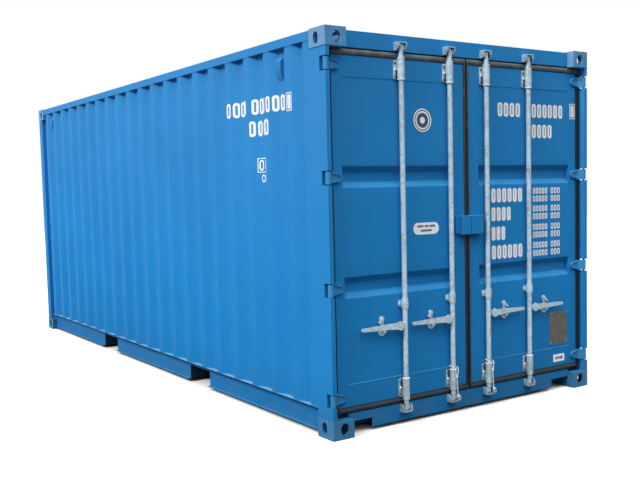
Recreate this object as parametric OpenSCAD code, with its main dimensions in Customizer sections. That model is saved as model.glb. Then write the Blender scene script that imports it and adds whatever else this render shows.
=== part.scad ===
// Twenty-foot dry freight container with a double door at the +X end.
// Millimetres, +Z up, origin on the ground at the middle of the footprint.
// Most pieces are drawn from an outer face: u runs inward from an end plane and
// v runs inward from a side plane.

/* [Overall] */
// Length over the corner castings
length = 6058; // [5000:1:7000]
// Width over the corner castings
width = 2438; // [2300:1:2600]
// Height over the corner castings
height = 2591; // [2500:1:2900]

/* [Corner castings] */
// Casting size along the container
casting_l = 178; // [170:1:190]
// Casting size across the container
casting_w = 162; // [155:1:170]
// Casting height
casting_h = 118; // [112:1:124]
// Casting wall at the end and side faces
casting_wall = 20; // [14:1:24]
// Casting wall at the slotted face
casting_plate = 26; // [20:1:28]
// Round on the casting's upright edges
casting_round = 8; // [3:1:12]
// Slot length in the top and bottom faces
slot_l = 124.5; // [110:0.5:130]
// Slot width in the top and bottom faces
slot_w = 63.5; // [55:0.5:70]
// Slot centre from the end plane
slot_from_end = 102.5; // [95:0.5:106]
// Slot centre from the side plane
slot_from_side = 89.5; // [82:0.5:95]
// Height of the end and side holes
hole_h = 79; // [70:1:82]
// Width of the end hole
end_hole_w = 63; // [55:1:66]
// Width of the side hole
side_hole_w = 51; // [45:1:56]
// Hole centre from the slotted face
hole_from_face = 65; // [62:1:66]

/* [Posts] */
// Inset of the posts from the end and side planes
post_inset = 3; // [1:0.5:6]
// Width of the door post's end face
post_face_w = 30; // [26:1:36]
// Depth of the door seat behind the end plane
seat_u = 115; // [112:1:125]
// Width of the door post behind the seat
post_back_w = 46; // [40:1:56]
// Sheet thickness of the posts
post_wall = 6; // [4:0.5:8]
// Length of the front post along the side
front_post_l = 111; // [100:1:130]
// Width of the front post across the end
front_post_w = 92; // [80:1:110]
// Depth of the front post's end leg
front_post_leg = 47; // [44:1:54]

/* [Hinges] */
// Hinges on each door
hinge_count = 4; // [3:1:5]
// Lowest hinge above the ground
hinge_z0 = 250; // [230:1:300]
// Highest hinge below the top plane
hinge_top = 226; // [210:1:280]
// Hinge pin centre behind the end plane
pin_u = 24; // [22:0.5:28]
// Hinge pin centre from the side plane
pin_v = 20; // [18:0.5:22]
// Hinge pin radius
pin_r = 8; // [6:0.5:9]
// Radial clearance of the hinge pin
pin_clear = 0.25; // [0.1:0.05:0.5]
// Knuckle radius
knuckle_r = 18; // [13:0.5:19]
// Knuckle height
knuckle_h = 78; // [60:1:86]
// Gap above and below the knuckle
knuckle_gap = 7; // [5:0.5:10]
// Thickness of the notch lining
notch_wall = 6; // [4:0.5:8]
// Depth of the hinge notch behind the end plane
notch_u = 70; // [66:1:80]
// Hinge blade thickness
blade_t = 10; // [6:0.5:12]
// Blade tip from the side plane
blade_tip_v = 135; // [110:1:160]
// Blade height at its tip
blade_tip_h = 52; // [40:1:58]
// Height of the blade at the leaf's edge
blade_root_h = 68; // [60:1:76]
// Height of the ribs on the blade's edges
blade_rib = 6; // [2:0.5:8]
// Width of the ribs on the blade's edges
blade_rib_w = 7; // [4:0.5:10]

/* [Door end frame] */
// Outer face of the doors, header and sill behind the end plane
face_u = 60; // [58:0.5:64]
// Header top below the top plane
header_top = 6; // [2:0.5:10]
// Height of the header's front face
header_h = 107; // [90:1:110]
// Drop of the header behind the doors
header_drop = 38; // [20:1:50]
// Sheet thickness of the header and sill
header_wall = 5; // [4:0.5:8]
// Sill underside above the ground
sill_bottom = 24; // [15:1:40]
// Sill top in front of the doors
sill_top = 140; // [130:1:142]
// Rise of the sill behind the doors
sill_rise = 38; // [20:1:40]
// Width of the cut-outs beside the castings
sill_cut_w = 190; // [120:1:200]
// Top of the sill cut-outs above the ground
sill_cut_top = 86; // [60:1:100]

/* [Doors] */
// Gap from the frame to the gasket
door_gap = 6; // [5:0.5:10]
// Gasket width at the hinge edge
gasket_w = 24; // [18:1:30]
// Gasket width at the meeting edge
gasket_meet_w = 19; // [12:1:25]
// Gasket height above the leaf
gasket_top_h = 44; // [30:1:50]
// Gasket height below the leaf
gasket_bottom_h = 38; // [30:1:45]
// Front face of the gasket behind the leaf's face
gasket_in = 6; // [2:0.5:10]
// Gasket thickness
gasket_t = 39; // [25:1:42]
// Front of the gasket's lip behind the end plane
lip_u = 44; // [43:0.5:50]
// Width of the lip on the leaf's face
lip_over = 10; // [6:0.5:14]
// Reach of the lip beyond the leaf
lip_out = 15; // [8:0.5:16]
// Leaf thickness
leaf_t = 50; // [45:1:54]
// Width of the leaf's upright tubes
stile_w = 90; // [70:1:110]
// Height of the leaf's top channel
top_rail_h = 132; // [100:1:150]
// Height of the leaf's bottom channel
low_rail_h = 146; // [100:1:170]
// Sheet thickness of the leaf's frame
leaf_wall = 4; // [3:0.5:6]
// Sheet thickness of the leaf's panel
panel_t = 2; // [1.5:0.5:4]
// Panel face behind the leaf's face
panel_in = 2; // [1.5:0.5:6]
// Depth of the panel's troughs
trough_depth = 36; // [20:1:38]
// Flat bottom of a trough
trough_flat = 62; // [40:1:90]
// Height of a trough's slope
trough_slope = 38; // [25:1:50]
// Centre of the lower trough above the ground
trough_z0 = 957; // [800:1:1100]
// Centre of the upper trough above the ground
trough_z1 = 1665; // [1500:1:1800]

/* [Lock rods] */
// Inner rods from the middle
rod_in_y = 173; // [160:1:200]
// Rod radius
rod_r = 17; // [14:0.5:18]
// Rod centre behind the end plane
rod_u = 33; // [31:0.5:34]
// Radial clearance of the rod in its brackets
rod_clear = 0.3; // [0.2:0.05:1]
// Cam core radius
cam_core_r = 13; // [10:0.5:14]
// Cam nose reach from the rod's centre
cam_nose = 24; // [20:0.5:25]
// Cam nose thickness
cam_nose_w = 20; // [14:0.5:24]
// Cam height
cam_h = 40; // [34:1:50]
// Keeper cheek clear of the cam
keeper_gap = 5; // [4:0.5:8]
// Keeper cheek thickness
keeper_t = 10; // [8:0.5:14]
// Keeper front behind the end plane
keeper_u = 11; // [8:0.5:14]
// Keeper bridge thickness
keeper_bridge = 8; // [5:0.5:12]
// Keeper lip width
keeper_lip = 11; // [6:0.5:11]
// Keeper lip thickness
keeper_lip_t = 10; // [6:0.5:10]
// Height of the keeper's front edges
keeper_front_h = 30; // [22:1:36]
// Set-back of a cheek at its open end
keeper_slant = 18; // [8:0.5:24]
// Cam end short of the keeper bridge
cam_end_gap = 6; // [4:0.5:10]
// Top of the upper keeper below the top plane
keeper_top = 55; // [44:1:60]
// Bottom of the lower keeper above the ground
keeper_low = 85; // [70:1:86]
// Guard radius of the rod brackets
guard_r = 24; // [22:0.5:25]
// Height of the end guards
guard_h = 140; // [120:1:150]
// Height of the end guards' plates
guard_plate_h = 124; // [100:1:126]
// Plate's middle from the guard's middle, towards the door's middle
guard_shift = 10; // [8:0.5:14]
// Cut corners of the bracket plates
bracket_cut = 9; // [4:0.5:14]
// Bracket plate thickness
bracket_t = 8; // [5:0.5:10]
// Bracket plate reach to the left of the rod
bracket_l = 46; // [38:1:60]
// Bracket plate reach to the right of the rod
bracket_r = 20; // [10:1:24]
// Upper guard's middle below the top plane
guard_top = 221; // [205:1:230]
// Lower guard's middle above the ground
guard_low = 240; // [238:1:260]
// Middle bracket above the ground
mid_z = 820; // [780:1:860]
// Middle bracket height
mid_h = 44; // [36:1:56]
// Middle bracket reach to the left of the rod
mid_l = 38; // [32:1:50]
// Middle bracket reach to the right of the rod
mid_r = 34; // [28:1:50]
// Collar radius beside the middle bracket
collar_r = 22; // [20:0.5:24]
// Collar height
collar_h = 12; // [8:0.5:16]
// Running gap of a collar
collar_gap = 0.6; // [0.3:0.1:2]

/* [Handles] */
// Handle height above the ground
handle_z = 676; // [640:1:700]
// Handle reach from the rod's centre
handle_l = 365; // [330:1:380]
// Handle tip from the next rod's centre
handle_tip_gap = 60; // [50:1:90]
// Handle thickness
handle_t = 10; // [8:0.5:12]
// Handle height at its neck
handle_h = 44; // [36:1:48]
// Handle height at its tip
handle_tip_h = 22; // [18:1:28]
// Length of the handle's step behind the hub
handle_neck = 60; // [45:1:75]
// Handle hub radius
hub_r = 30; // [24:0.5:32]
// Hub centre from the rod's centre
hub_l = 50; // [49:1:58]
// Thickness of the rod's lug behind the hub
lug_t = 16; // [10:0.5:18]
// Front face of the hub behind the end plane
hub_u = 13; // [10:0.5:15]
// Front face of the lever behind the end plane
lever_u = 24; // [20:0.5:28]
// Rivet head radius
rivet_r = 11; // [8:0.5:13]
// Rivet head height
rivet_h = 2.5; // [1:0.5:3]
// Retainer from the rod's centre
retainer_l = 180; // [165:1:220]
// Retainer plate width
retainer_w = 50; // [40:1:58]
// Retainer width at the handle
retainer_neck = 26; // [20:1:28]
// Retainer plate height below the handle
retainer_low = 58; // [50:1:70]
// Retainer eye height above the handle
retainer_high = 73; // [62:1:84]
// Retainer eye radius
eye_r = 18; // [14:0.5:20]
// Seal hole radius in the retainer
eye_hole_r = 7; // [4:0.5:9]
// Clearance from the retainer to the lever
retainer_gap = 5; // [5:0.5:8]
// Catch length
catch_l = 40; // [34:1:48]
// Catch width
catch_w = 14; // [10:0.5:16]
// Catch thickness
catch_t = 8; // [5:0.5:10]
// Catch radius about its rivet
catch_eye_r = 12; // [9:0.5:14]

/* [Lock box] */
// Box underside above the ground
box_z0 = 1254; // [1220:1:1290]
// Box height
box_h = 130; // [100:1:150]
// Box reach to the right of the meeting edge
box_right = 118; // [80:1:125]
// Box reach to the left of the meeting edge
box_left = 75; // [50:1:90]
// Gap between the two halves of the box
box_split = 6; // [5:0.5:10]
// Box front behind the end plane
box_u = 16; // [12:0.5:24]
// Box sheet thickness
box_wall = 5; // [3:0.5:8]
// Reach of the low hasp plate beyond the box
hasp_w = 47; // [30:1:48]
// Hasp plate thickness
hasp_t = 18; // [10:0.5:24]

/* [Side walls] */
// Outer face of the corrugations from the side plane
wall_v = 6; // [4:0.5:10]
// Corrugation depth
wall_depth = 36; // [25:0.5:38]
// Corrugation pitch
wall_pitch = 280; // [270:1:290]
// Width of an outer flat
wall_outer = 72; // [60:1:90]
// Width of a slope
wall_slope = 68; // [50:1:70]
// First inner flat beside the front post
wall_first = 78; // [70:1:100]
// Last outer flat beside the door post
wall_last = 77; // [60:1:90]
// Wall sheet thickness
wall_t = 2; // [1.5:0.5:3]

/* [Rails] */
// Rail faces from the side plane
rail_v = 4; // [2:0.5:6]
// Top rail below the top plane
rail_top = 5; // [3:0.5:8]
// Top rail tube size
rail_s = 60; // [54:1:70]
// Top rail tube wall
rail_wall = 4; // [3:0.5:6]
// Bottom rail underside above the ground
low_z0 = 28; // [20:1:40]
// Bottom rail top above the ground
low_z1 = 186; // [184:1:200]
// Bottom rail top flange width
low_top_w = 48; // [46:1:60]
// Bottom rail lower flange width
low_bottom_w = 30; // [20:1:40]
// Bottom rail sheet thickness
low_t = 4.5; // [3:0.5:6]

/* [Underframe] */
// Cross member underside above the ground
cross_z0 = 30; // [25:1:50]
// Floor underside above the ground
floor_z0 = 152; // [145:1:155]
// Floor thickness
floor_t = 28; // [21:1:30]
// Floor panels along the container
floor_count = 5; // [3:1:8]
// Joint between floor panels
floor_joint = 3; // [1:0.5:5]
// Floor edge clear of the rails
floor_gap = 1; // [0.5:0.5:4]
// Cross member pitch
cross_pitch = 292; // [270:1:310]
// Cross member flange width
cross_w = 45; // [35:1:60]
// Cross member sheet thickness
cross_t = 4; // [3:0.5:6]
// Fork pocket width
fork_w = 360; // [330:1:370]
// Fork pocket centre from the middle
fork_x = 1025; // [1000:1:1060]
// Fork pocket plate thickness
fork_t = 6; // [4:0.5:8]

/* [Front end] */
// Front header and wall from the front plane
front_u = 8; // [6:0.5:10]
// Front header height
front_header_h = 80; // [60:1:110]
// Front header depth
front_header_d = 60; // [50:1:80]
// Thickness of the plate between the front header and the roof
header_plate_t = 4; // [2:0.5:6]
// Front sill depth
front_sill_d = 52; // [46:1:70]
// Front corrugation depth
front_depth = 36; // [25:1:38]
// Front corrugation pitch
front_pitch = 250; // [240:1:280]
// Width of an outer flat at the front
front_outer = 104; // [80:1:110]
// Width of a slope at the front
front_slope = 20; // [16:1:25]

/* [Roof] */
// Roof crest below the top plane
roof_top = 6; // [5:0.5:10]
// Roof corrugation depth
roof_depth = 20; // [10:1:24]
// Roof corrugation pitch
roof_pitch = 209; // [180:1:240]
// Width of a roof crest
roof_crest = 90; // [70:1:100]
// Width of a roof slope
roof_slope = 14; // [10:1:18]
// Roof sheet thickness
roof_t = 2; // [1.5:0.5:3]

/* [Ventilators] */
// Ventilator width
vent_w = 62; // [40:1:68]
// Ventilator height
vent_h = 160; // [120:1:200]
// Ventilator depth
vent_d = 26; // [15:1:30]
// Ventilator middle below the top plane
vent_top = 196; // [170:1:240]
// Height of the slanted foot
vent_foot = 50; // [30:1:60]

/* [Tie ropes] */
// Rope diameter
rope_d = 6; // [5:0.5:7]

/* [Hidden] */
$fn = 48;

// Which way a mirrored pair faces
LEFT = -1;
RIGHT = 1;
// Overrun of a cut past the face it opens
cut = 1;
// Share of the round tip's height at which a blade's straight edges meet it
blade_shoulder = 0.9;

paint = "#2f80c4";
dark_paint = "#1c68a5";
zinc = "#b9bec2";
black_rubber = "#1b1c1e";
plywood = "#9a6b45";
white_rope = "#e6e6e0";

half_l = length / 2;
half_w = width / 2;

// Door opening in the end frame
post_u1 = casting_l;
post_v1 = post_inset + post_face_w;
post_v2 = post_inset + post_back_w;
header_z1 = height - header_top;
header_z0 = header_z1 - header_h;
header_low = header_z0 - header_drop;
sill_back = sill_top + sill_rise;
casting_in = half_w - casting_w;

// Leaf outline, measured across from the middle plane
gasket_out = half_w - post_v1 - door_gap;
leaf_out = gasket_out - gasket_w;
leaf_in = door_gap + gasket_meet_w;
leaf_z0 = sill_top + door_gap + gasket_bottom_h;
leaf_z1 = header_z0 - door_gap - gasket_top_h;
leaf_u1 = face_u + leaf_t;
panel_u = face_u + panel_in;

// Lock gear heights
keeper_inner = cam_nose + keeper_gap;
keeper_outer = keeper_inner + keeper_t;
keeper_top_z1 = height - keeper_top;
cam_top_z1 = keeper_top_z1 - keeper_bridge - cam_end_gap;
cam_low_z0 = keeper_low + keeper_bridge + cam_end_gap;
keeper_h = keeper_bridge + cam_end_gap + cam_h;
guard_top_z = height - guard_top;
lug_h = 2 * rod_r;
handle_taper = (handle_h - handle_tip_h) / (handle_l - handle_tip_h / 2 - hub_l);
lever_at_retainer = handle_h - handle_taper * (retainer_l - hub_l);
hub_back = hub_u + handle_t;
lever_back = lever_u + handle_t;
rod_out_y = rod_in_y + handle_l + handle_tip_gap;
rods = [-rod_out_y, -rod_in_y, rod_in_y, rod_out_y];

// Underframe
low_web_v = rail_v + low_top_w;
cross_half = half_w - low_web_v;
floor_x0 = -half_l + front_u + front_sill_d + floor_gap;
floor_x1 = half_l - post_u1 - floor_gap;
floor_half = cross_half - floor_gap;

// Walls and roof
wall_x0 = -half_l + post_inset + front_post_l;
wall_x1 = half_l - post_u1;
wall_z1 = height - rail_top - rail_s;
wall_inner = wall_pitch - wall_outer - 2 * wall_slope;
wall_end = wall_x1 - wall_last - wall_slope;
wall_count = floor((wall_end - wall_x0 - wall_first + wall_inner) / wall_pitch);
front_half = half_w - post_inset - front_post_w;
front_inner = front_pitch - front_outer - 2 * front_slope;
front_count = floor((2 * casting_in - front_inner) / front_pitch);
front_wall_z1 = height - header_top - front_header_h;
roof_x0 = -half_l + casting_l;
roof_x1 = half_l - casting_l;
roof_half = half_w - rail_v - rail_s;
roof_trough = roof_pitch - roof_crest - 2 * roof_slope;
roof_count = floor((roof_x1 - roof_x0 - roof_trough) / roof_pitch);

// Route of the rope beside a rod, from the rod's centre: u, y, z
rope_end = face_u - rod_u;
ROPE_ROUTE = [
    [rope_end, 31, 306], [rope_end - rope_d, 31, 306], [rope_end - 2 * rope_d, 31, 306],
    [10, 29, 317], [9, 25, 331], [19, 14, 339], [23, 2, 340], [20, -14, 340],
    [10, -24, 340], [-8, -25, 339], [-20, -19, 333], [-27, -13, 321], [-28, -6, 305],
    [-28, 2, 287], [-28, 8, 268], [-28, 11, 240], [-28, 14, 205], [-28, 17, 165],
    [-28, 19, 135], [-28, 22, 113], [-28, 29, 102], [-28, 39, 101], [-28, 44, 110],
    [-28, 39, 120], [-28, 31, 127]
];
ROPE_STEPS = 2;
ROPE_SIDES = 8;

// Frames that draw from a face

// Draw with u inward from the door end plane
module at_end() {
    translate([half_l, 0, 0]) mirror([1, 0, 0]) children();
}

// Draw with u inward from the front end plane
module at_front() {
    translate([-half_l, 0, 0]) children();
}

// Draw with v inward from one side plane
module at_side(side) {
    translate([0, side * half_w, 0]) mirror([0, side == RIGHT ? 1 : 0, 0]) children();
}

// Draw on the right of the door end, or mirrored on the left
module on_side(side) {
    mirror([0, side == LEFT ? 1 : 0, 0]) children();
}

// Draw a casting from its outer corner
module at_corner(end, side, top) {
    translate([end * half_l, side * half_w, top ? height : 0])
        mirror([end > 0 ? 1 : 0, 0, 0])
            mirror([0, side > 0 ? 1 : 0, 0])
                mirror([0, 0, top ? 1 : 0]) children();
}

// Sweep a profile of (u, z) from y0 to y1
module along_y(y0, y1) {
    translate([0, y1, 0]) rotate([90, 0, 0]) linear_extrude(y1 - y0) children();
}

// Sweep a profile of (y, z) from x0 to x1
module along_x(x0, x1) {
    translate([x0, 0, 0]) rotate([90, 0, 90]) linear_extrude(x1 - x0) children();
}

// Box between two corners
module block(low, high) {
    translate(low) cube(high - low);
}

// Shapes that repeat

// Slot with round ends along its local X
module slot_cut(l, w, h) {
    reach = (l - w) / 2;
    for (s = [-1, 1]) translate([s * reach, 0, 0]) cylinder(d = w, h = h);
    translate([-reach, -w / 2, 0]) cube([2 * reach, w, h]);
}

// Corrugated line: outer flats at 0 and inner flats at depth, from start to stop
function ribs(start, first, count, pitch, slope, flat, depth) = [
    for (i = [0 : count - 1])
        let (a = start + first + i * pitch)
        each [[a, depth], [a + slope, 0], [a + slope + flat, 0], [a + 2 * slope + flat, depth]]
];

// Close a line into a sheet of thickness t
function sheet(line, t) = concat(line, [for (i = [len(line) - 1 : -1 : 0]) line[i] + [0, t]]);

// Corner castings

module casting() {
    deep_l = casting_l - 2 * casting_wall;
    deep_w = casting_w - 2 * casting_wall;
    difference() {
        union() {
            translate([casting_round, 0, 0])
                cube([casting_l - casting_round, casting_w, casting_h]);
            translate([0, casting_round, 0])
                cube([casting_l, casting_w - casting_round, casting_h]);
            translate([casting_round, casting_round, 0])
                cylinder(r = casting_round, h = casting_h);
        }
        translate([casting_wall, casting_wall, casting_plate])
            cube([deep_l, deep_w, hole_h]);
        translate([slot_from_end, slot_from_side, -cut])
            slot_cut(slot_l, slot_w, casting_plate + 2 * cut);
        translate([-cut, slot_from_side, hole_from_face])
            rotate([90, 0, 90]) rotate(90) slot_cut(hole_h, end_hole_w, casting_wall + 2 * cut);
        translate([slot_from_end, casting_wall + cut, hole_from_face])
            rotate([90, 0, 0]) rotate(90) slot_cut(hole_h, side_hole_w, casting_wall + 2 * cut);
    }
}

module castings(top) {
    for (end = [-1, 1], side = [LEFT, RIGHT]) at_corner(end, side, top) casting();
}

module top_corner_castings() {
    color(paint) castings(true);
}

module bottom_corner_castings() {
    color(paint) castings(false);
}

// Posts

hinge_pitch = (height - hinge_top - hinge_z0) / (hinge_count - 1);
function hinge_z(i) = hinge_z0 + i * hinge_pitch;

module door_post_section(t) {
    polygon([
        [post_inset + t, post_inset + t], [post_inset + t, post_v1 - t],
        [seat_u + t, post_v1 - t], [seat_u + t, post_v2 - t],
        [post_u1 - t, post_v2 - t], [post_u1 - t, post_inset + t]
    ]);
}

module door_post(side) {
    notch_h = knuckle_h + 2 * knuckle_gap;
    at_end() on_side(side) translate([0, half_w, 0]) mirror([0, 1, 0]) difference() {
        union() {
            translate([0, 0, casting_h]) linear_extrude(height - 2 * casting_h) difference() {
                door_post_section(0);
                door_post_section(post_wall);
            }
            for (i = [0 : hinge_count - 1])
                block([post_inset, post_inset, hinge_z(i) - notch_h / 2 - notch_wall],
                      [notch_u + notch_wall, post_v1, hinge_z(i) + notch_h / 2 + notch_wall]);
        }
        for (i = [0 : hinge_count - 1]) {
            block([-cut, -cut, hinge_z(i) - notch_h / 2],
                  [notch_u, post_v1 + cut, hinge_z(i) + notch_h / 2]);
            translate([pin_u, pin_v, hinge_z(i) - notch_h / 2 - notch_wall - cut])
                cylinder(r = pin_r + pin_clear, h = notch_h + 2 * notch_wall + 2 * cut);
        }
    }
}

module left_door_post() {
    color(paint) door_post(LEFT);
}

module right_door_post() {
    color(paint) door_post(RIGHT);
}

module front_post_section(t) {
    u1 = post_inset + front_post_l;
    v1 = post_inset + front_post_w;
    leg_u = post_inset + front_post_leg;
    leg_v = post_inset + post_back_w;
    polygon([
        [post_inset + t, post_inset + t], [post_inset + t, v1 - t], [leg_u - t, v1 - t],
        [leg_u - t, leg_v - t], [u1 - t, leg_v - t], [u1 - t, post_inset + t]
    ]);
}

module front_posts() {
    color(paint) for (side = [LEFT, RIGHT])
        at_front() on_side(side) translate([0, half_w, casting_h]) mirror([0, 1, 0])
            linear_extrude(height - 2 * casting_h) difference() {
                front_post_section(0);
                front_post_section(post_wall);
            }
}

// Door end frame

module header_section(t) {
    polygon([
        [face_u + t, header_z0 + t], [face_u + t, header_z1 - t], [post_u1 - t, header_z1 - t],
        [post_u1 - t, header_low + t], [seat_u + t, header_low + t], [seat_u + t, header_z0 + t]
    ]);
}

module door_header() {
    drop_z1 = height - casting_h;
    drop_half = half_w - post_v2;
    color(dark_paint) at_end() {
        along_y(-casting_in, casting_in) difference() {
            header_section(0);
            header_section(header_wall);
        }
        for (side = [LEFT, RIGHT]) on_side(side) along_y(casting_in, drop_half) difference() {
            polygon([[seat_u, header_low], [seat_u, drop_z1], [post_u1, drop_z1],
                     [post_u1, header_low]]);
            polygon([[seat_u + header_wall, header_low + header_wall],
                     [seat_u + header_wall, drop_z1 - header_wall],
                     [post_u1 - header_wall, drop_z1 - header_wall],
                     [post_u1 - header_wall, header_low + header_wall]]);
        }
    }
}

// The sill is a stepped channel that is open below
module sill_section(t, bottom) {
    polygon([
        [face_u + t, bottom], [face_u + t, sill_top - t], [seat_u + t, sill_top - t],
        [seat_u + t, sill_back - t], [post_u1 - t, sill_back - t], [post_u1 - t, bottom]
    ]);
}

module door_sill() {
    cut_in = casting_in - sill_cut_w;
    color(dark_paint) at_end() difference() {
        union() {
            along_y(-casting_in, casting_in) difference() {
                sill_section(0, sill_bottom);
                sill_section(header_wall, sill_bottom - cut);
            }
            for (side = [LEFT, RIGHT]) on_side(side) along_y(casting_in, half_w - post_v2)
                difference() {
                    sill_back_section(0);
                    sill_back_section(header_wall);
                }
        }
        for (side = [LEFT, RIGHT]) on_side(side)
            block([face_u - cut, cut_in, sill_bottom - cut],
                  [face_u + header_wall + cut, casting_in + cut, sill_cut_top]);
    }
}

// The sill behind the doors, where it passes over the castings
module sill_back_section(t) {
    polygon([[seat_u + t, casting_h + t], [seat_u + t, sill_back - t],
             [post_u1 - t, sill_back - t], [post_u1 - t, casting_h + t]]);
}

module rod_keeper(hand) {
    front_z = keeper_h - keeper_front_h;
    mirror([0, hand == LEFT ? 1 : 0, 0]) {
        for (side = [LEFT, RIGHT]) on_side(side) along_y(keeper_inner, keeper_outer) polygon([
            [face_u, 0], [face_u, keeper_h], [keeper_u, keeper_h], [keeper_u, front_z],
            [keeper_u + keeper_slant, 0]
        ]);
        block([keeper_u, -keeper_outer, keeper_h - keeper_bridge],
              [face_u, keeper_outer, keeper_h]);
        block([keeper_u, keeper_inner - keeper_lip, front_z],
              [keeper_u + keeper_lip_t, keeper_inner, keeper_h]);
    }
}

module cam_keepers() {
    color(zinc) at_end() for (y = rods) translate([0, y, 0]) {
        hand = y < 0 ? LEFT : RIGHT;
        translate([0, 0, keeper_top_z1 - keeper_h]) rod_keeper(hand);
        translate([0, 0, keeper_low + keeper_h]) mirror([0, 0, 1]) rod_keeper(hand);
    }
}

module hinge_pins() {
    pin_h = knuckle_h + 2 * knuckle_gap + 2 * notch_wall;
    color(paint) at_end() for (side = [LEFT, RIGHT], i = [0 : hinge_count - 1])
        translate([pin_u, side * (half_w - pin_v), hinge_z(i) - pin_h / 2])
            cylinder(r = pin_r, h = pin_h);
}

// Front end

module front_header_section(t) {
    z1 = height - header_top;
    translate([front_u + t, z1 - front_header_h + t])
        square([front_header_d - 2 * t, front_header_h - 2 * t]);
}

// Tube with a plate that closes the roof between the castings
module front_header() {
    plate_z1 = height - roof_top - roof_depth;
    color(paint) at_front() along_y(-casting_in, casting_in) {
        difference() {
            front_header_section(0);
            front_header_section(rail_wall);
        }
        translate([front_u + front_header_d, plate_z1 - header_plate_t])
            square([casting_l - front_u - front_header_d, header_plate_t]);
    }
}

// Channel that opens inward, drawn in (u, z)
module front_sill() {
    u0 = front_u;
    u1 = front_u + front_sill_d;
    color(paint) at_front() along_y(-casting_in, casting_in) polygon([
        [u0, low_z0], [u0, low_z1], [u1, low_z1], [u1, low_z1 - low_t], [u0 + low_t, low_z1 - low_t],
        [u0 + low_t, low_z0 + low_t], [u1, low_z0 + low_t], [u1, low_z0]
    ]);
}

// The sheet is notched for the sill and the castings
module front_wall() {
    first = (2 * front_half - front_count * front_pitch + front_inner) / 2;
    back_u = front_u + front_depth + wall_t + cut;
    line = concat([[-front_half, front_depth]],
                  ribs(-front_half, first, front_count, front_pitch, front_slope, front_outer,
                       front_depth),
                  [[front_half, front_depth]]);
    color(paint) at_front() difference() {
        translate([front_u, 0, casting_h]) rotate(90) mirror([0, 1, 0])
            linear_extrude(front_wall_z1 - casting_h) polygon(sheet(line, wall_t));
        block([0, -casting_in, casting_h - cut], [back_u, casting_in, low_z1]);
        for (side = [LEFT, RIGHT]) on_side(side)
            block([0, casting_in, height - casting_h], [back_u, half_w, height]);
    }
}

// Side walls, rails and roof

// The sheet is notched for the bottom rail and the front top casting
module side_wall(side) {
    casting_x = -half_l + casting_l;
    back_v = wall_v + wall_depth + wall_t + cut;
    line = concat(
        [[wall_x0, wall_depth]],
        ribs(wall_x0, wall_first, wall_count, wall_pitch, wall_slope, wall_outer, wall_depth),
        [[wall_end, wall_depth], [wall_end + wall_slope, 0], [wall_x1, 0]]);
    at_side(side) difference() {
        translate([0, wall_v, casting_h])
            linear_extrude(wall_z1 - casting_h) polygon(sheet(line, wall_t));
        block([casting_x, 0, casting_h - cut], [half_l, back_v, low_z1]);
        block([-half_l, 0, height - casting_h], [casting_x, back_v, height]);
    }
}

module left_side_wall() {
    color(paint) side_wall(LEFT);
}

module right_side_wall() {
    color(paint) side_wall(RIGHT);
}

module top_side_rails() {
    z1 = height - rail_top;
    reach = half_l - casting_l;
    color(paint) for (side = [LEFT, RIGHT]) at_side(side) along_x(-reach, reach) difference() {
        translate([rail_v, z1 - rail_s]) square(rail_s);
        translate([rail_v + rail_wall, z1 - rail_s + rail_wall]) square(rail_s - 2 * rail_wall);
    }
}

module bottom_side_rails() {
    reach = half_l - casting_l;
    color(paint) for (side = [LEFT, RIGHT]) at_side(side) difference() {
        along_x(-reach, reach) polygon([
            [rail_v, low_z1], [low_web_v, low_z1], [low_web_v, low_z0],
            [low_web_v - low_bottom_w, low_z0], [low_web_v - low_bottom_w, low_z0 + low_t],
            [low_web_v - low_t, low_z0 + low_t], [low_web_v - low_t, low_z1 - low_t],
            [rail_v, low_z1 - low_t]
        ]);
        for (s = [-1, 1])
            block([s * fork_x - fork_w / 2, rail_v - cut, low_z0 - cut],
                  [s * fork_x + fork_w / 2, low_web_v + cut, floor_z0 - fork_t]);
    }
}

module roof() {
    first = (roof_x1 - roof_x0 - roof_count * roof_pitch + roof_trough) / 2;
    line = concat([[roof_x0, roof_depth]],
                  ribs(roof_x0, first, roof_count, roof_pitch, roof_slope, roof_crest, roof_depth),
                  [[roof_x1, roof_depth]]);
    color(paint) translate([0, 0, height - roof_top]) mirror([0, 0, 1])
        along_y(-roof_half, roof_half) polygon(sheet(line, roof_t));
}

module ventilators() {
    inner = wall_v + wall_depth;
    z0 = height - vent_top - vent_h / 2;
    color(paint) for (side = [LEFT, RIGHT], i = [1, wall_count - 1]) at_side(side)
        along_x(wall_x0 + wall_first + i * wall_pitch - wall_inner / 2 - vent_w / 2,
                wall_x0 + wall_first + i * wall_pitch - wall_inner / 2 + vent_w / 2)
            polygon([[inner, z0], [inner, z0 + vent_h], [inner - vent_d, z0 + vent_h - vent_d],
                     [inner - vent_d, z0 + vent_foot]]);
}

// Underframe

module cross_member() {
    along_y(-cross_half, cross_half) polygon([
        [0, cross_z0], [0, floor_z0], [cross_w, floor_z0], [cross_w, floor_z0 - cross_t],
        [cross_t, floor_z0 - cross_t], [cross_t, cross_z0 + cross_t], [cross_w, cross_z0 + cross_t],
        [cross_w, cross_z0]
    ]);
}

// True where a member would stand in a fork pocket
function in_fork(x) = abs(abs(x) - fork_x) < fork_w / 2 + fork_t + cross_w;

module cross_members() {
    reach = half_l - casting_l - floor_gap;
    count = floor((2 * reach - cross_w) / cross_pitch);
    first = -(cross_w + count * cross_pitch) / 2;
    color(dark_paint) for (i = [0 : count]) {
        x = first + i * cross_pitch;
        if (!in_fork(x + cross_w / 2)) translate([x, 0, 0]) cross_member();
    }
}

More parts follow.
